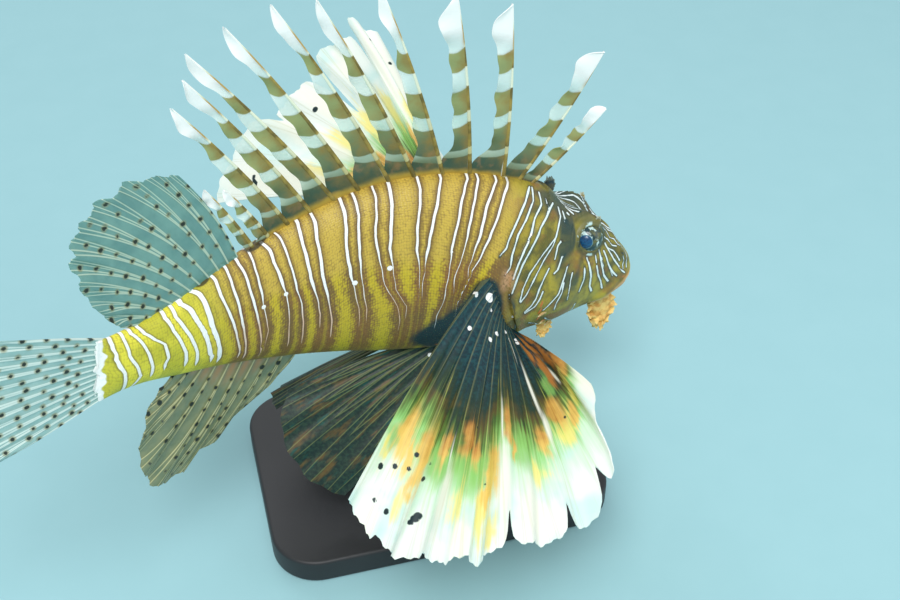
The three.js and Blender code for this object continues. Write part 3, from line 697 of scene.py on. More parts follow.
skinPaint = {
    "gold": tint(204, 174, 72), "goldLow": tint(204, 180, 44), "brown": tint(126, 100, 50),
    "rust": tint(146, 104, 54),
    "olive": tint(150, 122, 54), "yellow": tint(244, 232, 70), "rearOlive": tint(192, 188, 52),
    "white": tint(252, 254, 252), "pink": tint(226, 176, 136), "edge": tint(84, 60, 52),
    "headDark": tint(26, 62, 66), "darkPatch": tint(52, 48, 34), "darkBrown": tint(64, 52, 30),
    "headOlive": tint(104, 98, 42), "headGold": tint(176, 160, 54), "lip": tint(226, 182, 132),
    # the darker lip brown on the next line is painted shade, laid in the crease where the lips meet
    "mouthSlitShade": tint(120, 92, 60), "finRoot": tint(20, 54, 60), "belly": tint(150, 124, 70),
    "paleBlue": tint(206, 238, 238), "orange": tint(206, 120, 58),
}


def skinLook():
    look = Look("lionfish_skin", Specular_IOR_Level=0.45, Coat_Roughness=0.25)
    bar, space, half = look.own("bar"), look.own("barSpace"), look.own("lineHalf")
    along, degrees = look.own("along"), look.own("degrees")
    colours = skinPaint
    fine = look.grain(900, 2)
    medium = look.grain(150, 3)
    broad = look.grain(38, 2)
    streaks = look.grain(1, 3, look.stretched(620, 620, 150))
    onScales = look.joined(along * 0.95, look.own("arc") * 1.0 + along * 0.3)
    scales = look.cells(1.0, onScales, 0.45)
    share = bar.part()
    centred = 1 - abs(share - 0.5) * 2  # 1 midway between two lines
    offset = abs((bar + 0.5).part() - 0.5) * 10  # mm from the nearest line
    wavy = offset + (medium - 0.5) * 0.35
    line = (1 - (wavy - half).ease(-0.09, 0.09)) * half.ease(0.02, 0.09)
    beside = (1 - (wavy - half).ease(0.05, 1.1)) * half.ease(0.1, 0.3)
    rear = along.ease(178, 205)
    wide = space.ease(4.5, 8)
    high = degrees.ease(4, 36)
    grain = (streaks - 0.5) * 0.8 + (broad - 0.5) * 0.5 - (scales - 0.45) * 0.7
    brown = look.mix((broad + streaks * 0.5).ease(0.5, 1.0), colours["brown"], colours["rust"])
    bars = (centred + grain).ease(0.2, 0.95) * (0.3 + 0.7 * wide)
    low = look.mix(bars, brown, colours["goldLow"])
    up = look.mix((centred * 0.5 + wide * 0.3 + grain).ease(0.0, 0.8), colours["olive"], colours["gold"])
    up = look.mix((1 - centred + grain * 0.8).ease(0.45, 1.0) * 0.55, up, colours["brown"])
    base = look.mix((high + grain * 0.4).ease(0.2, 0.8), low, up)
    rearTone = look.mix(wide * 0.8 + (medium - 0.5), colours["yellow"], colours["rearOlive"])
    base = look.mix(rear, base, rearTone)
    head = along.ease(74, 60)
    clouds = (medium * 0.7 + broad * 0.3).ease(0.38, 0.6)
    olive = look.mix(clouds, colours["headOlive"], colours["headGold"])
    olive = look.mix(look.grain(95, 3).ease(0.5, 0.66) * 0.7, olive, colours["rust"])
    dark = (look.own("headDark") + (broad - 0.5) * 1.1 + (medium - 0.5) * 1.3).ease(0.25, 1.05) * 0.8
    base = look.mix(head, base, look.mix(dark, olive, colours["headDark"]))
    base = look.mix(degrees.ease(-40, -80) * 0.7 * along.ease(190, 170), base, colours["belly"])
    base = look.mix((look.own("finRoot") + (medium - 0.5) * 0.5).ease(0.3, 0.75), base, colours["finRoot"])
    base = look.mix(beside * (1 - head) * 0.6, base, colours["edge"])
    base = look.mix(scales.ease(0.42, 0.8) * 0.3 * along.ease(60, 76), base, colours["edge"])
    base = look.mix(scales.ease(0.2, 0.05) * 0.25 * along.ease(60, 76), base, colours["yellow"])
    pinkish = degrees.ease(12, -12) * along.ease(190, 175) * along.ease(100, 112)
    white = look.mix(pinkish * 0.8, colours["white"], colours["pink"])
    base = look.mix(line * along.ease(66, 70), base, white)
    headLine = look.own("headLine") + (fine - 0.5) * 0.16 + (look.grain(260, 2) - 0.5) * 0.55
    nearHead = (1 - headLine.ease(0.05, 0.6)) * 0.7 + (1 - headLine.ease(0.2, 1.6)) * 0.25
    deep = look.mix(medium.ease(0.4, 0.6), colours["headDark"], colours["darkBrown"])
    base = look.mix(nearHead, base, deep)
    pale = look.mix(0.4, colours["white"], colours["paleBlue"])
    base = look.mix(1 - headLine.ease(-0.1, 0.12), base, pale)
    base = look.mix((look.own("orange") + (fine - 0.5) * 0.4).ease(0.4, 0.7), base, colours["orange"])
    patch = (look.own("dark") + (medium - 0.5) * 0.3).ease(0.4, 0.75) * 0.9
    base = look.mix(patch, base, colours["darkPatch"])
    fromEye = look.own("fromEye")
    base = look.mix(fromEye.ease(9.6, 7.2) * 0.55, base, colours["headDark"])
    lid = (1 - abs(fromEye - 7.1).ease(0.15, 0.8)) * look.grain(260, 2).ease(0.53, 0.6)
    base = look.mix(lid * 0.85, base, colours["paleBlue"])
    over = look.own("mouthOver")
    lips = (1 - abs(over).ease(1.5, 3.0)) * along.ease(19, 16)
    base = look.mix(lips * (0.55 + 0.45 * medium.ease(0.3, 0.6)), base, colours["lip"])
    # painted shade: a darker brown along the slit of the mouth, in the crease between the lips
    base = look.mix((1 - abs(over).ease(0.15, 0.5)) * along.ease(17.5, 16.5), base, colours["mouthSlitShade"])
    swelling = (1 - abs(along - 68.5).ease(1, 4)) * (1 - abs(degrees - 7).ease(3, 9)) * fine.ease(0.2, 0.6)
    base = look.mix(swelling * 0.6, base, colours["pink"])
    base = look.mix(1 - look.own("blob").ease(-0.1, 0.12), base, colours["white"])
    tailEdge = (along + (medium - 0.5) * 2).ease(239.3, 240)
    base = look.mix(tailEdge, base, colours["white"])
    folds = (fromEye * 3.4 + medium * 4).sin() * fromEye.ease(13, 9) * 0.35
    raised = (1 - headLine.ease(-0.1, 0.35)) * 0.8
    height = scales * (-0.7) * along.ease(24, 50) * fromEye.ease(10, 15)
    height = height + fine * 0.3 + streaks * 0.3 + folds + raised
    normal = look.bump(height, 0.00035, 0.6)
    wet = 0.32 + 0.2 * fine + scales * 0.08
    return look.feed(Base_Color=base, Roughness=wet, Normal=normal)


# Fins

def fan(name, rays, perRay, rows, surface, ridges, notchAt, sag, ruffle):
    # a fin from its ray courses: surface(share, v) gives millimetres, ridges the heights of rays and skin
    def course(u, v):
        ray = u * (rays - 1)
        cut = notchAt(ray)
        reach = v * (1 - cut * ramp(v, 0.5, 1))
        points = surface(u, reach)
        step = 0.004
        across = surface(np.clip(u + step, 0, 1), reach) - surface(np.clip(u - step, 0, 1), reach)
        outward = surface(u, reach + step) - surface(u, reach - step)
        normal = unit(np.cross(across, outward))
        between = np.sin(np.pi * (ray % 1)) ** 2
        spacing = np.linalg.norm(across, axis=1) / (2 * step * (rays - 1))
        turn = 2 * np.pi * (0.73 * ray + 0.9 * reach) + 0.5 * np.sin(ray * 2.3)
        wave = ruffle * reach ** 3 * np.sin(turn)
        memory["flat"] = points
        points = points + normal * column(wave - sag * between * spacing * np.sqrt(np.clip(reach, 0, 1)))
        memory.update(ray=ray, v=reach, points=points, spacing=spacing)
        return points * mm

    memory = {}
    piece, u, v = gridPiece(name, (rays - 1) * perRay, rows, course)
    near = np.abs(memory["ray"] - np.rint(memory["ray"]))
    v = memory["v"]
    spread = ridges["branch"] * np.clip(v - ridges["split"], 0, 1)
    second = ridges["branch"] * 0.5 * np.clip(v - ridges["split"] - 0.22, 0, 1)
    gap = np.abs(np.abs(near - spread) - second) * memory["spacing"]
    height = ridges["root"] + (ridges["tip"] - ridges["root"]) * np.clip(v, 0, 1)
    thickness = ridges["skin"] + np.maximum(height - ridges["skin"], 0) * hump(gap, 0, ridges["width"])
    thickness += ridges.get("swell", 0) * np.clip(1 - v / 0.16, 0, 1) ** 1.5 * ramp(v, 0.0, 0.05)
    thickness *= 0.15 + 0.85 * ramp(v, 0.0, 0.03)
    memory["thickness"] = thickness
    carry(piece, "rayNumber", memory["ray"])
    carry(piece, "spacing", memory["spacing"])
    carry(piece, "reach", v)
    return piece, memory


def rayLines(look, ridges, thin):  # 1 on the rays and their branches, thinning outwards; the widths in mm
    v, number = look.own("reach"), look.own("rayNumber")
    near = abs((number + 0.5).part() - 0.5)
    spread = (v - ridges["split"]).top(0) * ridges["branch"]
    second = (v - ridges["split"] - 0.22).top(0) * (ridges["branch"] * 0.5)
    gap = abs(abs(near - spread) - second) * look.own("spacing")
    return 1 - (gap - (thin - v * thin * 0.5)).ease(-0.1, 0.14)


def spotDistance(points, spots):
    best = np.full(len(points), 9.0)
    for place, radius in spots:
        best = np.minimum(best, np.linalg.norm(points - place, axis=1) - radius)
    return best


def placed(surface, lastRay, spots):  # spots given by ray, share of its length and radius, laid on the fin
    return [(surface(np.array([ray / lastRay]), np.array([v]))[0], radius) for ray, v, radius in spots]


softDorsal = {
    "from": 175, "to": 217, "rays": 11, "above": True, "reach": 4, "rootBands": 0,
    "leans": [34, 37, 41, 47, 52, 57, 62, 68, 75, 82, 92],
    "lengths": [49, 56, 62, 66, 67, 64, 58, 49, 37, 25, 14],
}
anal = {
    "from": 147, "to": 201, "rays": 10, "above": False, "reach": 4,
    "rootBands": 1,  # orange between the rays
    "leans": [47, 41, 40, 40, 39, 41, 48, 58, 66, 76],
    "lengths": [16, 28, 43, 54, 58, 57, 50, 38, 25, 11],
}
clearRidges = {"root": 1.3, "tip": 0.5, "skin": 0.3, "width": 0.6, "branch": 0.3, "split": 0.12}


def medianSurface(fin):
    sign = 1 if fin["above"] else -1

    def surface(share, v):
        along = fin["from"] + (fin["to"] - fin["from"]) * share
        _, forward, _, up = axisAt(along)
        lean = column(np.radians(keyed(fin["leans"], share)))
        out = up * sign * np.cos(lean) - forward * np.sin(lean)
        back = -up * sign * np.sin(lean) - forward * np.cos(lean)
        root = skinPoint(along, sign * np.pi / 2, -fin["reach"], False)
        long = column(keyed(fin["lengths"], share))
        tip = skinPoint(along, sign * np.pi / 2, 0, False) + out * long
        v = column(v)
        return root + (tip - root) * v - back * 0.05 * long * 4 * v * (1 - v)

    return surface


def raySpots(rays, surface, every, radius, start, end):  # rows of spots along the rays, set alternately
    spots = []
    for ray in range(rays):
        share = np.array([ray / (rays - 1)])
        long = float(np.linalg.norm(surface(share, np.array([1.0])) - surface(share, np.array([0.0]))))
        place = start * long + every * (0.5 * (ray % 2) + 0.2 * luck.random())
        while place < end * long:
            v = np.array([place / long])
            aside = (luck.random() - 0.5) * 0.28
            spot = surface(np.clip(share + aside / (rays - 1), 0, 1), v)[0]
            spots.append((spot, radius * (0.72 + 0.5 * luck.random())))
            place += every * (0.8 + 0.4 * luck.random())
    return spots


def medianFin(name, fin, look, slot, node, spots):
    surface = medianSurface(fin)

    def notch(ray):
        return 0.03 * np.sin(np.pi * (ray % 1)) ** 2 + 0.012 * np.sin(ray * 17) * np.sin(ray * 5.3)

    piece, memory = fan(name, fin["rays"], 9, 84, surface, clearRidges, notch, sag=0.05, ruffle=0.9)
    places = raySpots(fin["rays"], surface, **spots)
    carry(piece, "spot", spotDistance(memory["flat"], places))
    roots = ramp(memory["v"], 0.3, 0.08) * hump(memory["ray"] % 1, 0.5, 0.3)
    carry(piece, "rootBand", roots * fin["rootBands"])
    thicken(piece, memory["thickness"] * mm)
    dress(piece, look, slot, node)


tail = {
    "top": 30, "bottom": -13, "turn": 22, "lengths": [40, 54, 62, 65, 63, 55, 40], "rays": 14,
    "spots": {"every": 8, "radius": 0.75, "start": 0.16, "end": 0.97},
}


def tailSurface():
    forward = axisAt(body["length"])[1][0]
    turn = math.radians(tail["turn"])
    level = np.array([-math.cos(turn), -math.sin(turn), 0])

    def surface(share, v):
        start = inBody(np.full(len(share), body["length"]), 0, 11 - 21.2 * share) + forward * 5
        rise = np.radians(tail["top"] + (tail["bottom"] - tail["top"]) * share)
        direction = level * column(np.cos(rise)) + np.array([0, 0, 1]) * column(np.sin(rise))
        tip = start - forward * 5.35 + direction * column(keyed(tail["lengths"], share))
        v = column(v)
        return start + (tip - start) * v + (-forward - level) * 5 * 4 * v * (1 - v)

    return surface


def tailFin(look):
    surface = tailSurface()

    def notch(ray):
        return 0.02 * np.sin(np.pi * (ray % 1)) ** 2

    ridges = dict(clearRidges, swell=0.8)
    piece, memory = fan("caudal_fin_skin", tail["rays"], 8, 84, surface, ridges, notch,
                        sag=0.05, ruffle=0.9)
    places = raySpots(tail["rays"], surface, **tail["spots"])
    carry(piece, "spot", spotDistance(memory["flat"], places))
    thicken(piece, memory["thickness"] * mm)
    dress(piece, look, "clear_fin", "caudal_fin")


pectoral = {
    "rays": 14, "cup": 0.06, "rootAlong": (74, 61), "rootDegrees": (10, -48),
    "right": {
        "side": -1,
        "sweep": [-46, -40, -32, -26, -21, -15, -8, 1, 12, 16.5],
        "lift": [-18, -22, -17, -13, -13, -8, -9, -9, -4, 14],
        "length": [108, 114, 117, 116, 113, 110, 105, 101, 88, 60],
    },
    "left": {
        "side": 1,
        "sweep": [-56, -43, -34, -26, -20, -18, -12, -4, 6, 12],
        "lift": [-9, 2, 10, 18, 27, 35, 35, 23, 6, -12],
        "length": [118, 120, 120, 119, 120, 120, 112, 94, 74, 48],
    },
    "ridges": {"root": 1.5, "tip": 0.6, "skin": 0.35, "width": 0.8, "branch": 0.3, "split": 0.55,
               "swell": 3.4},
}
pelvic = {
    "rays": 6, "cup": 0.05, "rootAlong": (81, 74), "rootDegrees": (-79, -72),
    "right": {
        "side": -1,
        "sweep": [-87, -83, -80, -76, -72, -67],
        "lift": [-9, -15, -21, -28, -35, -41],
        "length": [70, 78, 83, 86, 87, 85],
    },
    "left": {
        "side": 1,
        "sweep": [-87, -84, -81, -77, -73, -69],
        "lift": [-26, -25, -25, -27, -31, -36],
        "length": [82, 84, 85, 84, 82, 78],
    },
    "ridges": {"root": 1.7, "tip": 0.6, "skin": 0.4, "width": 0.8, "branch": 0.62, "split": 0.12},
}


def pairedSurface(fin, sideName, bulge=0.0):
    half = fin[sideName]
    side = half["side"]

    def surface(share, v):
        along = fin["rootAlong"][0] + (fin["rootAlong"][1] - fin["rootAlong"][0]) * share
        degrees = fin["rootDegrees"][0] + (fin["rootDegrees"][1] - fin["rootDegrees"][0]) * share
        start = onSide(side, along, degrees, -3)
        turn = np.radians(keyed(half["sweep"], share))
        rise = np.radians(keyed(half["lift"], share))
        level = np.stack([np.sin(turn), side * np.cos(turn), 0 * turn], axis=1)
        direction = level * column(np.cos(rise)) + np.array([0, 0, 1]) * column(np.sin(rise))
        long = column(keyed(half["length"], share))
        v = column(v)
        start = start - direction * 1.5 * (1 - v)
        bow = np.array([0, 0, fin["cup"]]) * long
        bow = bow + np.array([bulge, bulge * side * 0.5, 0]) * column(share ** 4)
        return start + direction * long * v + bow * 4 * v * (1 - v)

    return surface


def pectoralFin(sideName, look, spots, paint):
    surface = pairedSurface(pectoral, sideName)

    def notch(ray):
        depth = 0.004 * np.sin(ray * 9.3) + 0.0035 * np.sin(ray * 23 + 1) + 0.006 * np.sin(ray * 4.1)
        for place, deep, half in paint["notches"]:
            depth = depth + deep * np.exp(-np.abs(ray - place) / half)
        for place, deep, half in paint["short"]:
            depth = depth + deep * hump(ray, place, half)
        return np.maximum(depth, -0.01)

    piece, memory = fan(sideName + "_pectoral_fin_skin", pectoral["rays"], 13, 130, surface,
                        pectoral["ridges"], notch, sag=0.07, ruffle=2.2)
    last = pectoral["rays"] - 1
    carry(piece, "spot", spotDistance(memory["flat"], placed(surface, last, spots)))
    carry(piece, "whiteDot", spotDistance(memory["flat"], placed(surface, last, paint["dots"])))
    ray = memory["ray"] + 0.22 * rough(memory["points"], 0.16, 2) + 0.1 * rough(memory["points"], 0.5, 3)
    v = memory["v"] + 0.022 * rough(memory["points"], 0.2, 4)
    straight = memory["ray"] + 0.05 * rough(memory["points"], 0.06, 6)
    for key in ("orange", "white", "green", "yellow"):
        across = straight if key == "white" else ray
        mask = np.zeros(len(ray))
        for place, at, wide, long in paint[key]:
            mask = np.maximum(mask, hump(across, place, wide) * hump(v, at, long))
        carry(piece, key, mask)
    shifts = np.array(paint["zoneShifts"])
    carry(piece, "zone", v + np.interp(ray, shifts[:, 0], shifts[:, 1]))
    thicken(piece, memory["thickness"] * mm)
    dress(piece, look, "pectoral_fin", sideName + "_pectoral_fin")


rightPaint = {  # places are (ray, share of its length, reach across, reach along)
    "zoneShifts": [(0, -0.03), (0.6, 0.02), (1, 0.05), (2, 0.01), (3, -0.02), (4.5, -0.04), (6, -0.02),
                   (7, 0.07), (7.5, 0.05), (8.5, -0.01), (9.6, 0.01), (10.5, 0.05), (11.5, 0.02),
                   (12.3, -0.04), (13, -0.14)],
    "notches": [(1.5, 0.025, 0.3), (3.3, 0.03, 0.3), (5.35, 0.03, 0.35), (7.35, 0.17, 0.14),
                (9.72, 0.13, 0.16), (11.1, 0.15, 0.2), (12.2, 0.06, 0.25)],
    "short": [],
    "orange": [(0.9, 0.68, 0.5, 0.1), (1.5, 0.74, 0.3, 0.07), (2.2, 0.71, 0.4, 0.11),
               (2.0, 0.8, 0.25, 0.06), (3.25, 0.66, 0.3, 0.06), (4.6, 0.62, 0.5, 0.07),
               (5.3, 0.66, 0.3, 0.05), (6.5, 0.72, 0.45, 0.1), (6.2, 0.8, 0.25, 0.06),
               (7.45, 0.58, 0.3, 0.08), (7.8, 0.66, 0.14, 0.05), (9.5, 0.64, 0.35, 0.06),
               (10.7, 0.57, 0.5, 0.07), (11.7, 0.42, 0.35, 0.1), (11.3, 0.26, 0.25, 0.09),
               (12.6, 0.5, 0.3, 0.12), (12.2, 0.3, 0.25, 0.13), (11.4, 0.66, 0.4, 0.05),
               (12.9, 0.34, 0.25, 0.1), (12.9, 0.66, 0.3, 0.1)],
    "white": [(7.2, 0.8, 0.34, 0.2), (7.08, 0.55, 0.07, 0.12), (9.85, 0.42, 0.13, 0.16),
              (9.95, 0.6, 0.18, 0.1), (3.8, 0.82, 0.35, 0.13), (3.6, 0.66, 0.06, 0.08),
              (9.4, 0.2, 0.06, 0.1), (12.9, 0.9, 0.35, 0.14), (11.9, 0.5, 0.12, 0.06),
              (8.4, 0.9, 0.5, 0.14), (5.0, 0.93, 0.6, 0.08), (0.8, 0.97, 0.6, 0.06)],
    "green": [(5, 0.72, 1.7, 0.09), (3.2, 0.71, 0.7, 0.07), (8.3, 0.66, 0.7, 0.09),
              (11.2, 0.45, 0.5, 0.08), (0.5, 0.74, 0.4, 0.04)],
    "yellow": [(5.9, 0.86, 0.35, 0.1), (4.6, 0.84, 0.35, 0.08), (1.8, 0.86, 0.3, 0.07),
               (6.6, 0.93, 0.3, 0.06), (9.0, 0.76, 0.4, 0.06), (10.8, 0.66, 0.6, 0.08),
               (0.35, 0.8, 0.3, 0.05), (12.2, 0.66, 0.5, 0.07)],
    "dots": [(6, 0.17, 1.1), (8.5, 0.12, 1.0), (9.2, 0.16, 0.9), (4.8, 0.22, 1.1), (10.8, 0.18, 0.9),
             (10.9, 0.16, 0.8), (0.2, 0.14, 1.1), (3.4, 0.11, 0.7), (1.6, 0.24, 1.0), (2.0, 0.085, 2.0)],
}
leftPaint = {
    "zoneShifts": [(0, 0.24), (13, 0.24)],
    "notches": [(0.9, 0.02, 0.3), (2.2, 0.14, 0.22), (4.35, 0.42, 0.2), (6.75, 0.26, 0.2),
                (9.6, 0.1, 0.3), (11.2, 0.08, 0.3)],
    "short": [(3.1, 0.1, 0.8), (5.9, 0.07, 0.5)],
    "orange": [(1.2, 0.42, 0.4, 0.06), (3.2, 0.4, 0.4, 0.07), (5.0, 0.38, 0.35, 0.06),
               (7.1, 0.44, 0.3, 0.07)],
    "white": [(r, 0.72, 0.45, 0.3) for r in (0.5, 2, 3.5, 5.4, 7.5, 8.5, 10.5)],
    "green": [(r, 0.44, 0.6, 0.08) for r in (2, 4, 6, 8, 10)],
    "yellow": [(r, 0.56, 0.45, 0.12) for r in (0.8, 2.6, 4.4, 6.2, 8)],
    "dots": [(6, 0.17, 1.1), (8.5, 0.12, 1.0), (4.8, 0.22, 1.1)],
}
rightSpots = [(0.53, 0.833, 1.3), (1.05, 0.79, 1.1), (1.85, 0.71, 1.0), (1.75, 0.76, 0.9),
              (2.6, 0.77, 1.1), (2.7, 0.72, 0.5), (0.85, 0.915, 0.9), (1.5, 0.905, 1.2),
              (2.86, 0.875, 1.2), (2.78, 0.887, 1.3), (2.7, 0.9, 1.1), (6.05, 0.76, 0.4),
              (5.1, 0.57, 0.6), (11, 0.62, 0.6)]
leftSpots = [(3.2, 0.77, 1.4), (0.35, 0.84, 1.4), (0.5, 0.85, 1.1), (7.9, 0.9, 1.1), (8.6, 0.84, 0.8)]


def pectoralLook():
    look = Look("pectoral_fin", Specular_IOR_Level=0.4)
    v = look.own("reach")
    fine, medium = look.grain(700, 2), look.grain(110, 3)
    flow = look.grain(1, 3, look.joined(look.own("rayNumber") * 6, v * 3))
    edge = look.own("zone") + (flow - 0.5) * 0.3
    dark = look.mix(fine.ease(0.35, 0.7), tint(10, 44, 54), tint(20, 70, 76))
    dark = look.mix(edge.ease(0.3, 0.55), dark, tint(34, 56, 34))
    dark = look.mix(edge.ease(0.44, 0.56) * medium.ease(0.4, 0.6) * 0.8, dark, tint(98, 78, 36))
    teal = look.mix(edge.ease(0.52, 0.64), dark, tint(96, 132, 60))
    green = look.mix(edge.ease(0.6, 0.7), teal, tint(150, 212, 120))
    base = look.mix(edge.ease(0.66, 0.8), green, tint(214, 240, 214))
    base = look.mix(edge.ease(0.78, 0.92), base, tint(240, 246, 238))
    cyan = look.grain(60, 2).ease(0.45, 0.7) * edge.ease(0.7, 0.8) * 0.6
    base = look.mix(cyan, base, tint(186, 230, 226))
    streak = (flow - 0.5) * 1.9
    base = look.mix((look.own("green") + streak).ease(0.2, 0.8) * 0.7, base, tint(140, 196, 100))
    base = look.mix((look.own("yellow") + streak).ease(0.25, 0.85) * 0.8, base, tint(250, 232, 120))
    orange = look.mix((edge + (medium - 0.5) * 0.3).ease(0.5, 0.8), tint(180, 116, 50), tint(246, 204, 104))
    base = look.mix((look.own("orange") + streak * 0.6).ease(0.15, 0.75) * 0.94, base, orange)
    base = look.mix((look.own("white") + streak * 0.3).ease(0.2, 0.9) * 0.92, base, tint(244, 244, 228))
    ray = rayLines(look, pectoral["ridges"], 0.34) * (0.06 + medium * 0.26)
    base = look.mix(ray, base, tint(178, 176, 120))
    base = look.mix(1 - look.own("whiteDot").ease(-0.12, 0.12), base, tint(252, 252, 250))
    base = look.mix(1 - (look.own("spot") + (medium - 0.5) * 0.5).ease(-0.2, 0.25), base, tint(14, 40, 44))
    normal = look.bump(fine * 0.5 + medium * 0.5, 0.0003, 0.4)
    return look.feed(Base_Color=base, Roughness=0.38 + 0.2 * medium, Normal=normal)


def pelvicFin(sideName, look):
    surface = pairedSurface(pelvic, sideName, 7)

    def notch(ray):
        return 0.006 * np.sin(ray * 5)

    piece, memory = fan(sideName + "_pelvic_fin_skin", pelvic["rays"], 20, 90, surface,
                        pelvic["ridges"], notch, sag=0.05, ruffle=0.8)
    dots = [(4.8, 0.09, 1.1), (4.9, 0.2, 0.9), (4.3, 0.19, 1.0), (4.3, 0.25, 1.0), (3, 0.2, 0.9),
            (5, 0.32, 0.9)]
    carry(piece, "whiteDot", spotDistance(memory["flat"], placed(surface, pelvic["rays"] - 1, dots)))
    thicken(piece, memory["thickness"] * mm)
    dress(piece, look, "pelvic_fin", sideName + "_pelvic_fin")


def pelvicLook():
    look = Look("pelvic_fin", Specular_IOR_Level=0.4)
    v, number = look.own("reach"), look.own("rayNumber")
    fine, medium = look.grain(700, 2), look.grain(90, 3)
    flow = look.grain(1, 3, look.joined(number * 3.1, v * 7))
    base = look.mix(fine.ease(0.35, 0.7), tint(26, 44, 40), tint(44, 66, 52))
    base = look.mix(v.ease(0.3, 0.1), base, tint(22, 56, 58))
    base = look.mix(flow.ease(0.5, 0.7) * v.ease(0.25, 0.45) * 0.6, base, tint(126, 92, 40))
    base = look.mix(look.grain(1, 3, look.joined(number * 4.3 + 7, v * 8)).ease(0.58, 0.7) * 0.7, base,
                    tint(18, 84, 76))
    base = look.mix(v.ease(0.16, 0.1) * number.ease(3.6, 4.4), base, tint(226, 150, 60))
    ray = rayLines(look, pelvic["ridges"], 0.3) * (0.25 + medium * 0.5)
    base = look.mix(ray, base, tint(128, 138, 84))
    base = look.mix(1 - look.own("whiteDot").ease(-0.12, 0.12), base, tint(250, 252, 250))
    normal = look.bump(fine * 0.5 + medium * 0.5, 0.0003, 0.4)
    return look.feed(Base_Color=base, Roughness=0.4 + 0.2 * medium, Normal=normal)


def clearLook(name, skinTint, deepTint, bandTint, rayTint):
    look = Look(name, Specular_IOR_Level=0.4)
    v = look.own("reach")
    fine, medium = look.grain(700, 2), look.grain(120, 3)
    base = look.mix(medium.ease(0.3, 0.75), skinTint, deepTint)
    base = look.mix(look.own("rootBand"), base, bandTint)
    ray = rayLines(look, clearRidges, 0.36)
    base = look.mix(ray * 0.75, base, rayTint)
    spot = look.own("spot")
    halo = (1 - spot.ease(0.1, 0.9)) * 0.6
    base = look.mix(halo, base, tint(150, 142, 84))
    mark = 1 - spot.ease(-0.2, 0.15)
    base = look.mix(mark, base, tint(36, 46, 40))
    alpha = (0.66 + ray * 0.3).top(mark).top(v.ease(0.2, 0.02))
    normal = look.bump(fine * 0.5 + medium * 0.5, 0.00025, 0.4)
    return look.feed(Base_Color=base, Roughness=0.34 + 0.2 * fine, Alpha=alpha, Normal=normal)


# The spiny fin: thirteen spines, the banded flag behind each, and the web between them

spines = {
    "roots": [57, 62.5, 69, 82, 92, 102, 111, 122, 131.5, 142, 152, 161.5, 169],
    "leans": [-35, -19, 9, 13, 22, 28, 30, 32, 36, 35, 36, 36, 35],
    "lengths": [40, 60, 72, 76, 81, 85, 86, 88, 85, 80, 72, 31, 36],
    "splays": [2, -2, 1.5, -1.5, 1.5, -1.5, 1.5, -1.5, 1.5, -1, 1, -1, 1],
    "radii": (0.8, 0.2), "bend": 0.02, "sunk": 5,
    "frontWidths": [8, 7.6, 6.8, 6.4, 6, 5.8, 5.6, 8.2, 8.8],
    "rearWidths": [9, 8, 6.8, 6, 5.4, 4.8, 2.6, 3.9, 3.6],
    "shifts": [0, 0.01, 0.05, 0.03, -0.03, 0, 0.03, 0.01, 0.02, 0, 0.01, 0, 0],
    "bars": [(0.02, 0.15), (0.19, 0.33), (0.39, 0.52), (0.62, 0.72)],
    "web": (0.1, 0.26),  # skin fills the gap to the next spine up to the first share and ends at the second
}


def spineFrame(k):
    root = spines["roots"][k]
    forward, left, up = (part[0] for part in axisAt(root)[1:])
    lean, splay = math.radians(spines["leans"][k]), math.radians(spines["splays"][k])
    direction = up * math.cos(lean) * math.cos(splay) - forward * math.sin(lean) * math.cos(splay) \
        + left * math.sin(splay)
    behind = -up * math.sin(lean) - forward * math.cos(lean)
    start = skinPoint(root, np.pi / 2, 0, False)[0] - direction * spines["sunk"]
    return start, direction, behind, left, spines["lengths"][k] + spines["sunk"]


def spineCourse(k, v, back, aside=0.0):
    start, direction, behind, left, long = spineFrame(k)
    bow = spines["bend"] * long * 4 * v * (1 - v)
    along = start + direction * column(v * long) + behind * column(back - bow)
    return along + left * column(np.broadcast_to(aside, v.shape))


def spinePiece(k):
    long = spineFrame(k)[4]

    def course(u, v):
        turn = 2 * np.pi * u
        radius = spines["radii"][0] * (1 - v) ** 0.8 + spines["radii"][1]
        radius = np.where(v > 0.995, 0.02, radius)
        return spineCourse(k, v, radius + radius * np.cos(turn), 0.85 * radius * np.sin(turn)) * mm

    piece, u, v = gridPiece("dorsal_spine", 12, 60, course)
    carry(piece, "reach", v)
    carry(piece, "bandEdge", bandEdge(v, k) * long)
    closeUp(piece)
    return piece


def bandEdge(v, k):  # how deep a point lies inside the nearest bar, as a share of the spine
    shift = spines["shifts"][k]
    best = np.full(len(v), -1.0)
    for low, high in spines["bars"]:
        best = np.maximum(best, np.minimum(v - low - shift, high + shift - v))
    return best


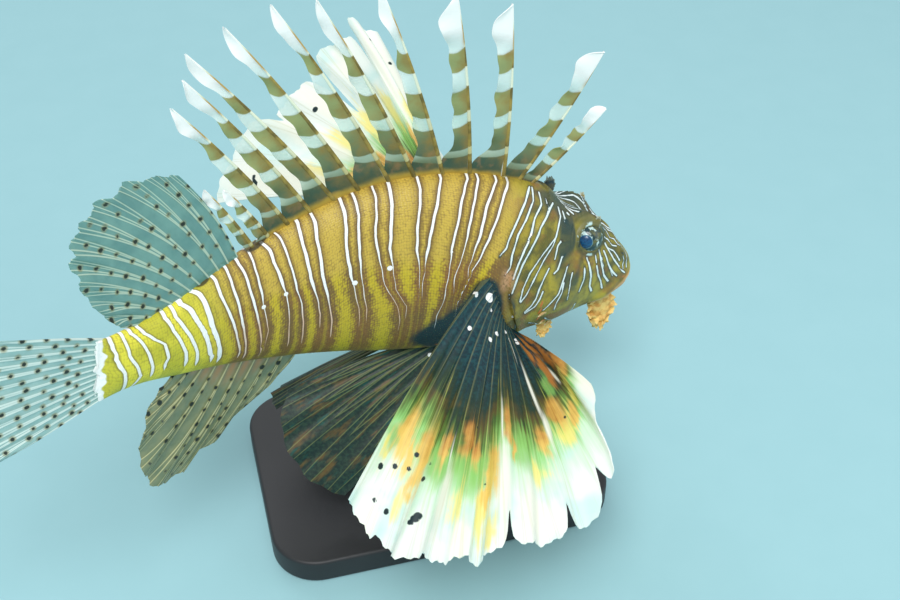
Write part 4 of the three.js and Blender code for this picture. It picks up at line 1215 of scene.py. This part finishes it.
def flagPiece(k):
    left, long = spineFrame(k)[3:]
    front = k < 4
    widths = spines["frontWidths"] if front else spines["rearWidths"]
    last = k == 12
    spacing = (175 if last else spines["roots"][k + 1]) - spines["roots"][k]
    spread = math.radians((34 if last else spines["leans"][k + 1]) - spines["leans"][k])
    shrink = 0.8 if k in (0, 11, 12) else 1.0

    def width(v):
        room = 0.65 * spacing * math.cos(math.radians(spines["leans"][k]))
        room = room + 0.9 * long * v * math.sin(max(spread, 0))
        wide = np.minimum(keyed(widths, v) * shrink, np.maximum(room, 2.4))
        lobes = 1 + 0.05 * np.sin(v * 34 + k) + 0.04 * np.sin(v * 57 + 2 * k)
        tip = 0.15 if front else 0.12
        return np.maximum(wide * lobes, 0.6) * np.sin(np.pi / 2 * np.clip((1.0 - v) / tip, 0, 1)) ** 0.8

    def course(u, v):
        inner = spineCourse(k, v, spines["radii"][0] * 0.6)
        outer = spineCourse(k, v, spines["radii"][0] * 0.6 + width(v))
        if not last:
            nextShare = np.clip(v * long / spineFrame(k + 1)[4], 0, 1)
            beyond = spineCourse(k + 1, nextShare, spines["radii"][0] * 0.4)
            joined = column(ramp(v, spines["web"][1], spines["web"][0]))
            outer = outer + (beyond - outer) * joined
        ripple = 0.9 * u ** 2 * np.sin(v * 21 + k * 1.7) + 0.35 * u * np.sin(v * 47 + k)
        ripple = ripple * ramp(v, 0.08, 0.2)
        return (inner + (outer - inner) * column(u) + left * column(ripple)) * mm

    piece, u, v = gridPiece("dorsal_flag", 14, 110, course)
    slant = v + 0.012 * np.sin(u * 3.1) + (0.02 if front else -0.035) * u
    carry(piece, "reach", v)
    carry(piece, "across", u)
    carry(piece, "bandEdge", bandEdge(slant, k) * long)
    thicken(piece, (0.3 + 0.5 * (1 - u) ** 3) * mm)
    return piece


def spineLook():
    look = Look("dorsal_spines", Specular_IOR_Level=0.45)
    v, band = look.own("reach"), look.own("bandEdge")
    fine, medium = look.grain(900, 2), look.grain(200, 2)
    bar = (band + (medium - 0.5) * 0.8).ease(-0.25, 0.35)
    pale = look.mix(v.ease(0.1, 0.6), tint(196, 188, 130), tint(236, 240, 214))
    tan = look.mix(medium.ease(0.35, 0.7), tint(110, 96, 44), tint(168, 146, 70))
    base = look.mix(bar, pale, tan)
    base = look.mix(v.ease(0.74, 0.78) * v.ease(0.9, 0.84), base, tint(190, 158, 88))
    base = look.mix(v.ease(0.88, 0.93), base, tint(250, 250, 244))
    normal = look.bump(fine, 0.0002, 0.5)
    return look.feed(Base_Color=base, Roughness=0.32 + 0.2 * fine, Normal=normal)


def flagLook():
    look = Look("dorsal_flags", Specular_IOR_Level=0.4)
    v, band, across = look.own("reach"), look.own("bandEdge"), look.own("across")
    fine, medium = look.grain(800, 2), look.grain(120, 3)
    bar = (band + (medium - 0.5) * 1.2).ease(-0.3, 0.4)
    deep = look.mix(v.ease(0.12, 0.5), tint(64, 90, 72), tint(150, 160, 104))
    deep = look.mix((medium + (1 - across) * 0.35).ease(0.5, 0.95) * 0.8, deep, tint(150, 122, 56))
    blotches = look.grain(180, 3).ease(0.5, 0.68) * v.ease(0.3, 0.12)
    deep = look.mix(blotches * 0.6, deep, tint(150, 116, 80))
    pale = look.mix(v.ease(0.08, 0.35), tint(120, 134, 92), tint(206, 232, 220))
    pale = look.mix(v.ease(0.3, 0.7), pale, tint(232, 246, 240))
    base = look.mix(bar, pale, deep)
    atRoot = look.mix(blotches * 0.6, tint(52, 76, 60), tint(130, 104, 70))
    base = look.mix(v.ease(0.2, 0.1) * 0.6, base, atRoot)
    base = look.mix((v + (medium - 0.5) * 0.05).ease(0.1, 0.065), base, tint(176, 148, 60))
    root = (1 - abs(across - 0.06).ease(0.02, 0.07)) * v.ease(0.17, 0.1)
    base = look.mix(root, base, tint(236, 240, 230))
    base = look.mix(v.ease(0.74, 0.86), base, tint(253, 253, 250))
    alpha = 1 - v.ease(0.16, 0.3) * (1 - bar) * v.ease(0.86, 0.78) * 0.42
    normal = look.bump(fine * 0.5 + medium * 0.5, 0.0003, 0.4)
    return look.feed(Base_Color=base, Roughness=0.36 + 0.2 * fine, Alpha=alpha, Normal=normal)


# Flaps of skin on the head

def flapPiece(name, side, along, degrees, up, back, out, width, ruffle, columns=26, rows=34, lobes=5):
    start = onSide(side, along, degrees, -1.5)[0]
    forward, left, upward = (part[0] for part in axisAt(along)[1:])
    reach = upward * up - forward * back + left * side * out
    across = np.cross(reach, left)
    across /= np.linalg.norm(across)
    face = np.cross(across, reach)
    face /= np.linalg.norm(face)

    def course(u, v):
        place = 2 * u - 1
        wide = width / 2 * (0.3 + 0.7 * np.sin(np.pi * np.minimum(1, v * 0.95) ** 0.8))
        waves = v * lobes * 2 * np.pi
        wide = wide * (1 + 0.1 * np.sin(waves) + 0.05 * np.sin(2.3 * waves + side))
        long = v * (1 + 0.06 * np.sin(place * lobes * 2.4) * ramp(v, 0.7, 1))
        edge = np.maximum(np.abs(place) ** 2, ramp(v, 0.55, 1))
        fold = ruffle * edge * np.sin(v * lobes * 5 + place * 5.5) + 0.12 * width * place ** 2 \
            + 0.45 * ruffle * np.sin(place * 9 + v * 3) * v
        return (start + reach * column(long) + across * column(place * wide) + face * column(fold)) * mm

    piece, u, v = gridPiece(name, columns, rows, course)
    carry(piece, "reach", v)
    carry(piece, "across", np.abs(2 * u - 1))
    thicken(piece, (1.1 - 0.65 * np.maximum(v, np.abs(2 * u - 1) ** 2)) * mm)
    return piece


def flapLook(name, deep, light, rim):
    look = Look(name, Specular_IOR_Level=0.4)
    v, across = look.own("reach"), look.own("across")
    medium, fine = look.grain(420, 3), look.grain(1200, 2)
    base = look.mix(medium.ease(0.35, 0.65), deep, light)
    base = look.mix(across.top(v).ease(0.72, 1.0) * 0.7, base, rim)
    normal = look.bump(medium * 0.6 + fine * 0.4, 0.0004, 0.6)
    return look.feed(Base_Color=base, Roughness=0.42 + 0.25 * fine, Normal=normal)


# Eyes

def eyePiece(side):
    centre, gaze = eyeCentre(side), gazeOf(side)
    helper = np.array([0, 0, 1.0])
    first = np.cross(gaze, helper)
    first /= np.linalg.norm(first)
    second = np.cross(first, gaze)

    def course(u, v):
        turn, fall = 2 * np.pi * u, np.pi * v
        radius = eye["radius"] * (1 - 0.03 * hump(fall, math.radians(30), 0.12)
                                  + 0.02 * hump(fall, 0, 0.4))
        return (centre + gaze * column(radius * np.cos(fall))
                + first * column(radius * np.sin(fall) * np.cos(turn))
                + second * column(radius * np.sin(fall) * np.sin(turn))) * mm

    piece, u, v = gridPiece(("left" if side > 0 else "right") + "_eye_ball", 96, 96, course)
    carry(piece, "fall", v * 180)
    closeUp(piece)
    return piece


def eyeLook():
    look = Look("fish_eye", Specular_IOR_Level=0.5, Coat_Weight=0.3, Coat_Roughness=0.12)
    fall = look.own("fall")
    medium, fine = look.grain(330, 3), look.grain(1100, 2)
    base = look.mix(medium.ease(0.42, 0.62), tint(24, 58, 62), tint(96, 98, 56))
    dashes = look.grain(1, 2, look.stretched(520, 520, 300)).ease(0.55, 0.62)
    base = look.mix(dashes * 0.9, base, tint(206, 232, 228))
    base = look.mix(look.grain(500, 2).ease(0.6, 0.66), base, tint(18, 50, 54))
    base = look.mix(1 - abs(fall - 27.6).ease(0.3, 1.2), base, tint(120, 170, 180))
    pupil = look.mix(fine.ease(0.4, 0.6), tint(2, 56, 96), tint(4, 78, 122))
    base = look.mix(fall.ease(27.0, 26.0), base, pupil)
    return look.feed(Base_Color=base, Roughness=0.24 + 0.1 * fine)


# Small spines on the cheeks

def cheekSpine(side, along, degrees, long):
    start = onSide(side, along, degrees, -1.2)[0]
    end = onSide(side, along + long, degrees, 1.8)[0]
    line = end - start
    left = np.cross(line, (0, 0, 1.0))
    left /= np.linalg.norm(left)
    over = np.cross(left, line)
    over /= np.linalg.norm(over)

    def course(u, v):
        radius = 1.15 * (1 - v) ** 0.8 + 0.05
        turn = 2 * np.pi * u
        hook = 0.6 * v ** 2
        return (start + line * column(v) + left * column(radius * np.cos(turn))
                + over * column(radius * np.sin(turn) + hook)) * mm

    piece, u, v = gridPiece("cheek_spine", 12, 14, course)
    carry(piece, "reach", v)
    closeUp(piece, 2e-5)
    return piece


# The stand

stand = {"length": 150, "width": 105, "height": 12, "corner": 20, "bevel": 1.5, "rodRadius": 3, "rodX": -12}


def standBase():
    bpy.ops.object.select_all(action="DESELECT")
    size = (stand["length"] * mm, stand["width"] * mm, stand["height"] * mm)
    bpy.ops.mesh.primitive_cube_add(size=1, location=(0, 0, size[2] / 2), scale=size)
    piece = bpy.context.object
    piece.name = piece.data.name = "display_base"
    bpy.ops.object.transform_apply(location=True, rotation=True, scale=True)
    weights = piece.data.attributes.new("bevel_weight_edge", "FLOAT", "EDGE")
    for edge in piece.data.edges:
        a, b = (piece.data.vertices[i].co for i in edge.vertices)
        weights.data[edge.index].value = float(abs(a.z - b.z) > 0.001)
    use(piece, "BEVEL", width=stand["corner"] * mm, segments=14, limit_method="WEIGHT")
    sharp = math.radians(50)
    use(piece, "BEVEL", width=stand["bevel"] * mm, segments=4, limit_method="ANGLE", angle_limit=sharp)
    return piece


def standRod():
    radius = stand["rodRadius"] * mm
    top = (body["trunkHeight"] - 37.5) * mm
    low = (stand["height"] + 0.02) * mm
    profile = [(0, low), (6.5 * mm, low), (6.5 * mm, low + 1.2 * mm), (5.6 * mm, low + 2.4 * mm),
               (3.9 * mm, low + 3.2 * mm), (radius, low + 4.4 * mm), (radius, top), (0, top)]
    rings = np.array(profile)

    def course(u, v):
        place = v * (len(profile) - 1)
        i = np.minimum(place.astype(int), len(profile) - 2)
        t = column(place - i)
        at = rings[i] * (1 - t) + rings[i + 1] * t
        turn = 2 * np.pi * u
        across = stand["rodX"] * mm + at[:, 0] * np.cos(turn)
        return np.stack([across, at[:, 0] * np.sin(turn), at[:, 1]], axis=1)

    piece, u, v = gridPiece("display_rod", 40, (len(profile) - 1) * 4, course)
    closeUp(piece)
    return piece


def baseLook():
    look = Look("stand_base_paint", Specular_IOR_Level=0.5)
    fine, broad = look.grain(2600, 2), look.grain(14, 3)
    base = look.mix(broad.ease(0.35, 0.75), tint(38, 39, 42), tint(46, 47, 50))
    normal = look.bump(fine, 0.00012, 0.35)
    return look.feed(Base_Color=base, Roughness=0.42 + 0.14 * broad, Normal=normal)


def rodLook():
    look = Look("stand_rod_steel", Metallic=1.0)
    brushed = look.grain(1, 2, look.stretched(500, 500, 9000))
    base = look.mix(brushed.ease(0.3, 0.7), tint(150, 151, 154), tint(186, 187, 190))
    normal = look.bump(brushed, 0.00005, 0.3)
    return look.feed(Base_Color=base, Roughness=0.24 + 0.16 * brushed, Normal=normal)


# Making it all

print("skin")
skinMesh, skinMemory = skinPiece()
markSkin(skinMesh, skinMemory)
closeUp(skinMesh, 2e-6)
dress(skinMesh, skinLook(), "skin", "head", "trunk", "tail", "tail_stalk")

print("eyes")
eyeSurface = eyeLook()
for side, name in ((1, "left"), (-1, "right")):
    dress(eyePiece(side), eyeSurface, "eye", name + "_eye")

print("dorsal spines")
dorsalSpines = join([spinePiece(k) for k in range(13)], "dorsal_spines")
dress(dorsalSpines, spineLook(), "banded_fin", "spiny_dorsal_fin")
dorsalFlags = join([flagPiece(k) for k in range(13)], "dorsal_flags")
dress(dorsalFlags, flagLook(), "banded_fin", "spiny_dorsal_fin")

print("soft fins")
clearFin = clearLook("clear_fin", tint(96, 150, 142), tint(122, 172, 160), tint(240, 246, 232),
                     tint(206, 222, 200))
medianFin("soft_dorsal_fin_skin", softDorsal, clearFin, "clear_fin", "soft_dorsal_fin",
          {"every": 7.6, "radius": 0.85, "start": 0.16, "end": 0.97})
analFin = clearLook("anal_fin", tint(116, 128, 88), tint(150, 150, 100), tint(206, 140, 66),
                    tint(222, 210, 160))
medianFin("anal_fin_skin", anal, analFin, "clear_fin", "anal_fin",
          {"every": 5.6, "radius": 0.95, "start": 0.2, "end": 0.97})
tailFin(clearLook("caudal_fin", tint(150, 192, 188), tint(176, 210, 204), tint(240, 246, 232),
                  tint(226, 238, 230)))

print("paired fins")
pectoralSurface = pectoralLook()
pectoralFin("right", pectoralSurface, rightSpots, rightPaint)
pectoralFin("left", pectoralSurface, leftSpots, leftPaint)
pelvicSurface = pelvicLook()
pelvicFin("right", pelvicSurface)
pelvicFin("left", pelvicSurface)

print("flaps")
frillLook = flapLook("mouth_flap", tint(206, 150, 72), tint(244, 206, 122), tint(250, 226, 150))
napeLook = flapLook("nape_leaf", tint(30, 58, 70), tint(84, 84, 66), tint(140, 160, 150))
leafLook = flapLook("head_leaf", tint(96, 92, 50), tint(168, 148, 88), tint(210, 220, 200))
cheekSpines = []
for side, name in ((1, "left"), (-1, "right")):
    dress(flapPiece(name + "_mouth_frill", side, 9, -50, -17, -3.5, 3, 12.5, 1.5, 40, 44, 6), frillLook,
          "flap", name + "_mouth_flap")
    dress(flapPiece(name + "_cheek_frill", side, 36, -60, -8, 1, 3, 7, 0.9), frillLook,
          "flap", name + "_cheek_flap")
    dress(flapPiece(name + "_brow_leaf", side, 30.5, 61, 5, 1, 1, 3, 0.3, 14, 18, 3), leafLook, "skin",
          name + "_brow_tentacle")
    for place in ((45, -24, 5), (41, -37, 4.4), (36, -49, 3.8)):
        cheekSpines.append(cheekSpine(side, *place))
dress(flapPiece("nape_leaf", 1, 48, 76, 7, 2, 0.5, 5, 0.35, 18, 22, 3), napeLook, "skin", "nape_flap")
dress(join(cheekSpines, "cheek_spines"), flapLook("cheek_spine", tint(150, 110, 60), tint(206, 176, 120),
                                                 tint(230, 220, 190)), "skin")

print("stand")
dress(standBase(), baseLook(), "stand_base", "stand_base", angle=30)
dress(standRod(), rodLook(), "stand_rod", "stand_rod", angle=30)

print("floor, light and camera")
bpy.ops.object.select_all(action="DESELECT")
bpy.ops.mesh.primitive_plane_add(size=8, location=(0, 0, -0.0002))
floor = bpy.context.object
floor.name = "floor"
floorLook = Look("floor_paper", Roughness=0.9)
paper = floorLook.grain(40, 3)
floor.data.materials.append(floorLook.feed(
    Base_Color=floorLook.mix(paper, tint(158, 204, 211), tint(163, 208, 215))))

lights = {
    "key": ((-0.35, -0.9, 1.5), 0.7, 19),
    "fill": ((1.3, -0.5, 0.9), 1.1, 5),
    "back": ((-0.2, 1.3, 1.2), 1.0, 5),
}
aim = Vector((0, -0.02, 0.12))
for name, (place, size, watts) in lights.items():
    lamp = bpy.data.lights.new(name, "AREA")
    lamp.energy, lamp.size = watts, size
    holder = bpy.data.objects.new(name, lamp)
    bpy.context.scene.collection.objects.link(holder)
    holder.location = place
    holder.rotation_euler = (aim - Vector(place)).to_track_quat("-Z", "Y").to_euler()
world = bpy.data.worlds.new("soft studio")
bpy.context.scene.world = world
world.use_nodes = True
world.node_tree.nodes["Background"].inputs[0].default_value = (0.86, 0.93, 0.96, 1)
world.node_tree.nodes["Background"].inputs[1].default_value = 0.55

view = {"place": (-0.09007, -0.38251, 0.42975), "back": (-0.198, -0.740, 0.643), "lens": 50}
camera = bpy.data.objects.new("camera", bpy.data.cameras.new("camera"))
bpy.context.scene.collection.objects.link(camera)
camera.location = view["place"]
camera.rotation_euler = Vector(view["back"]).to_track_quat("Z", "Y").to_euler()
camera.data.lens = view["lens"]
camera.data.clip_start = 0.01
bpy.context.scene.camera = camera
bpy.context.scene.view_settings.view_transform = "Standard"
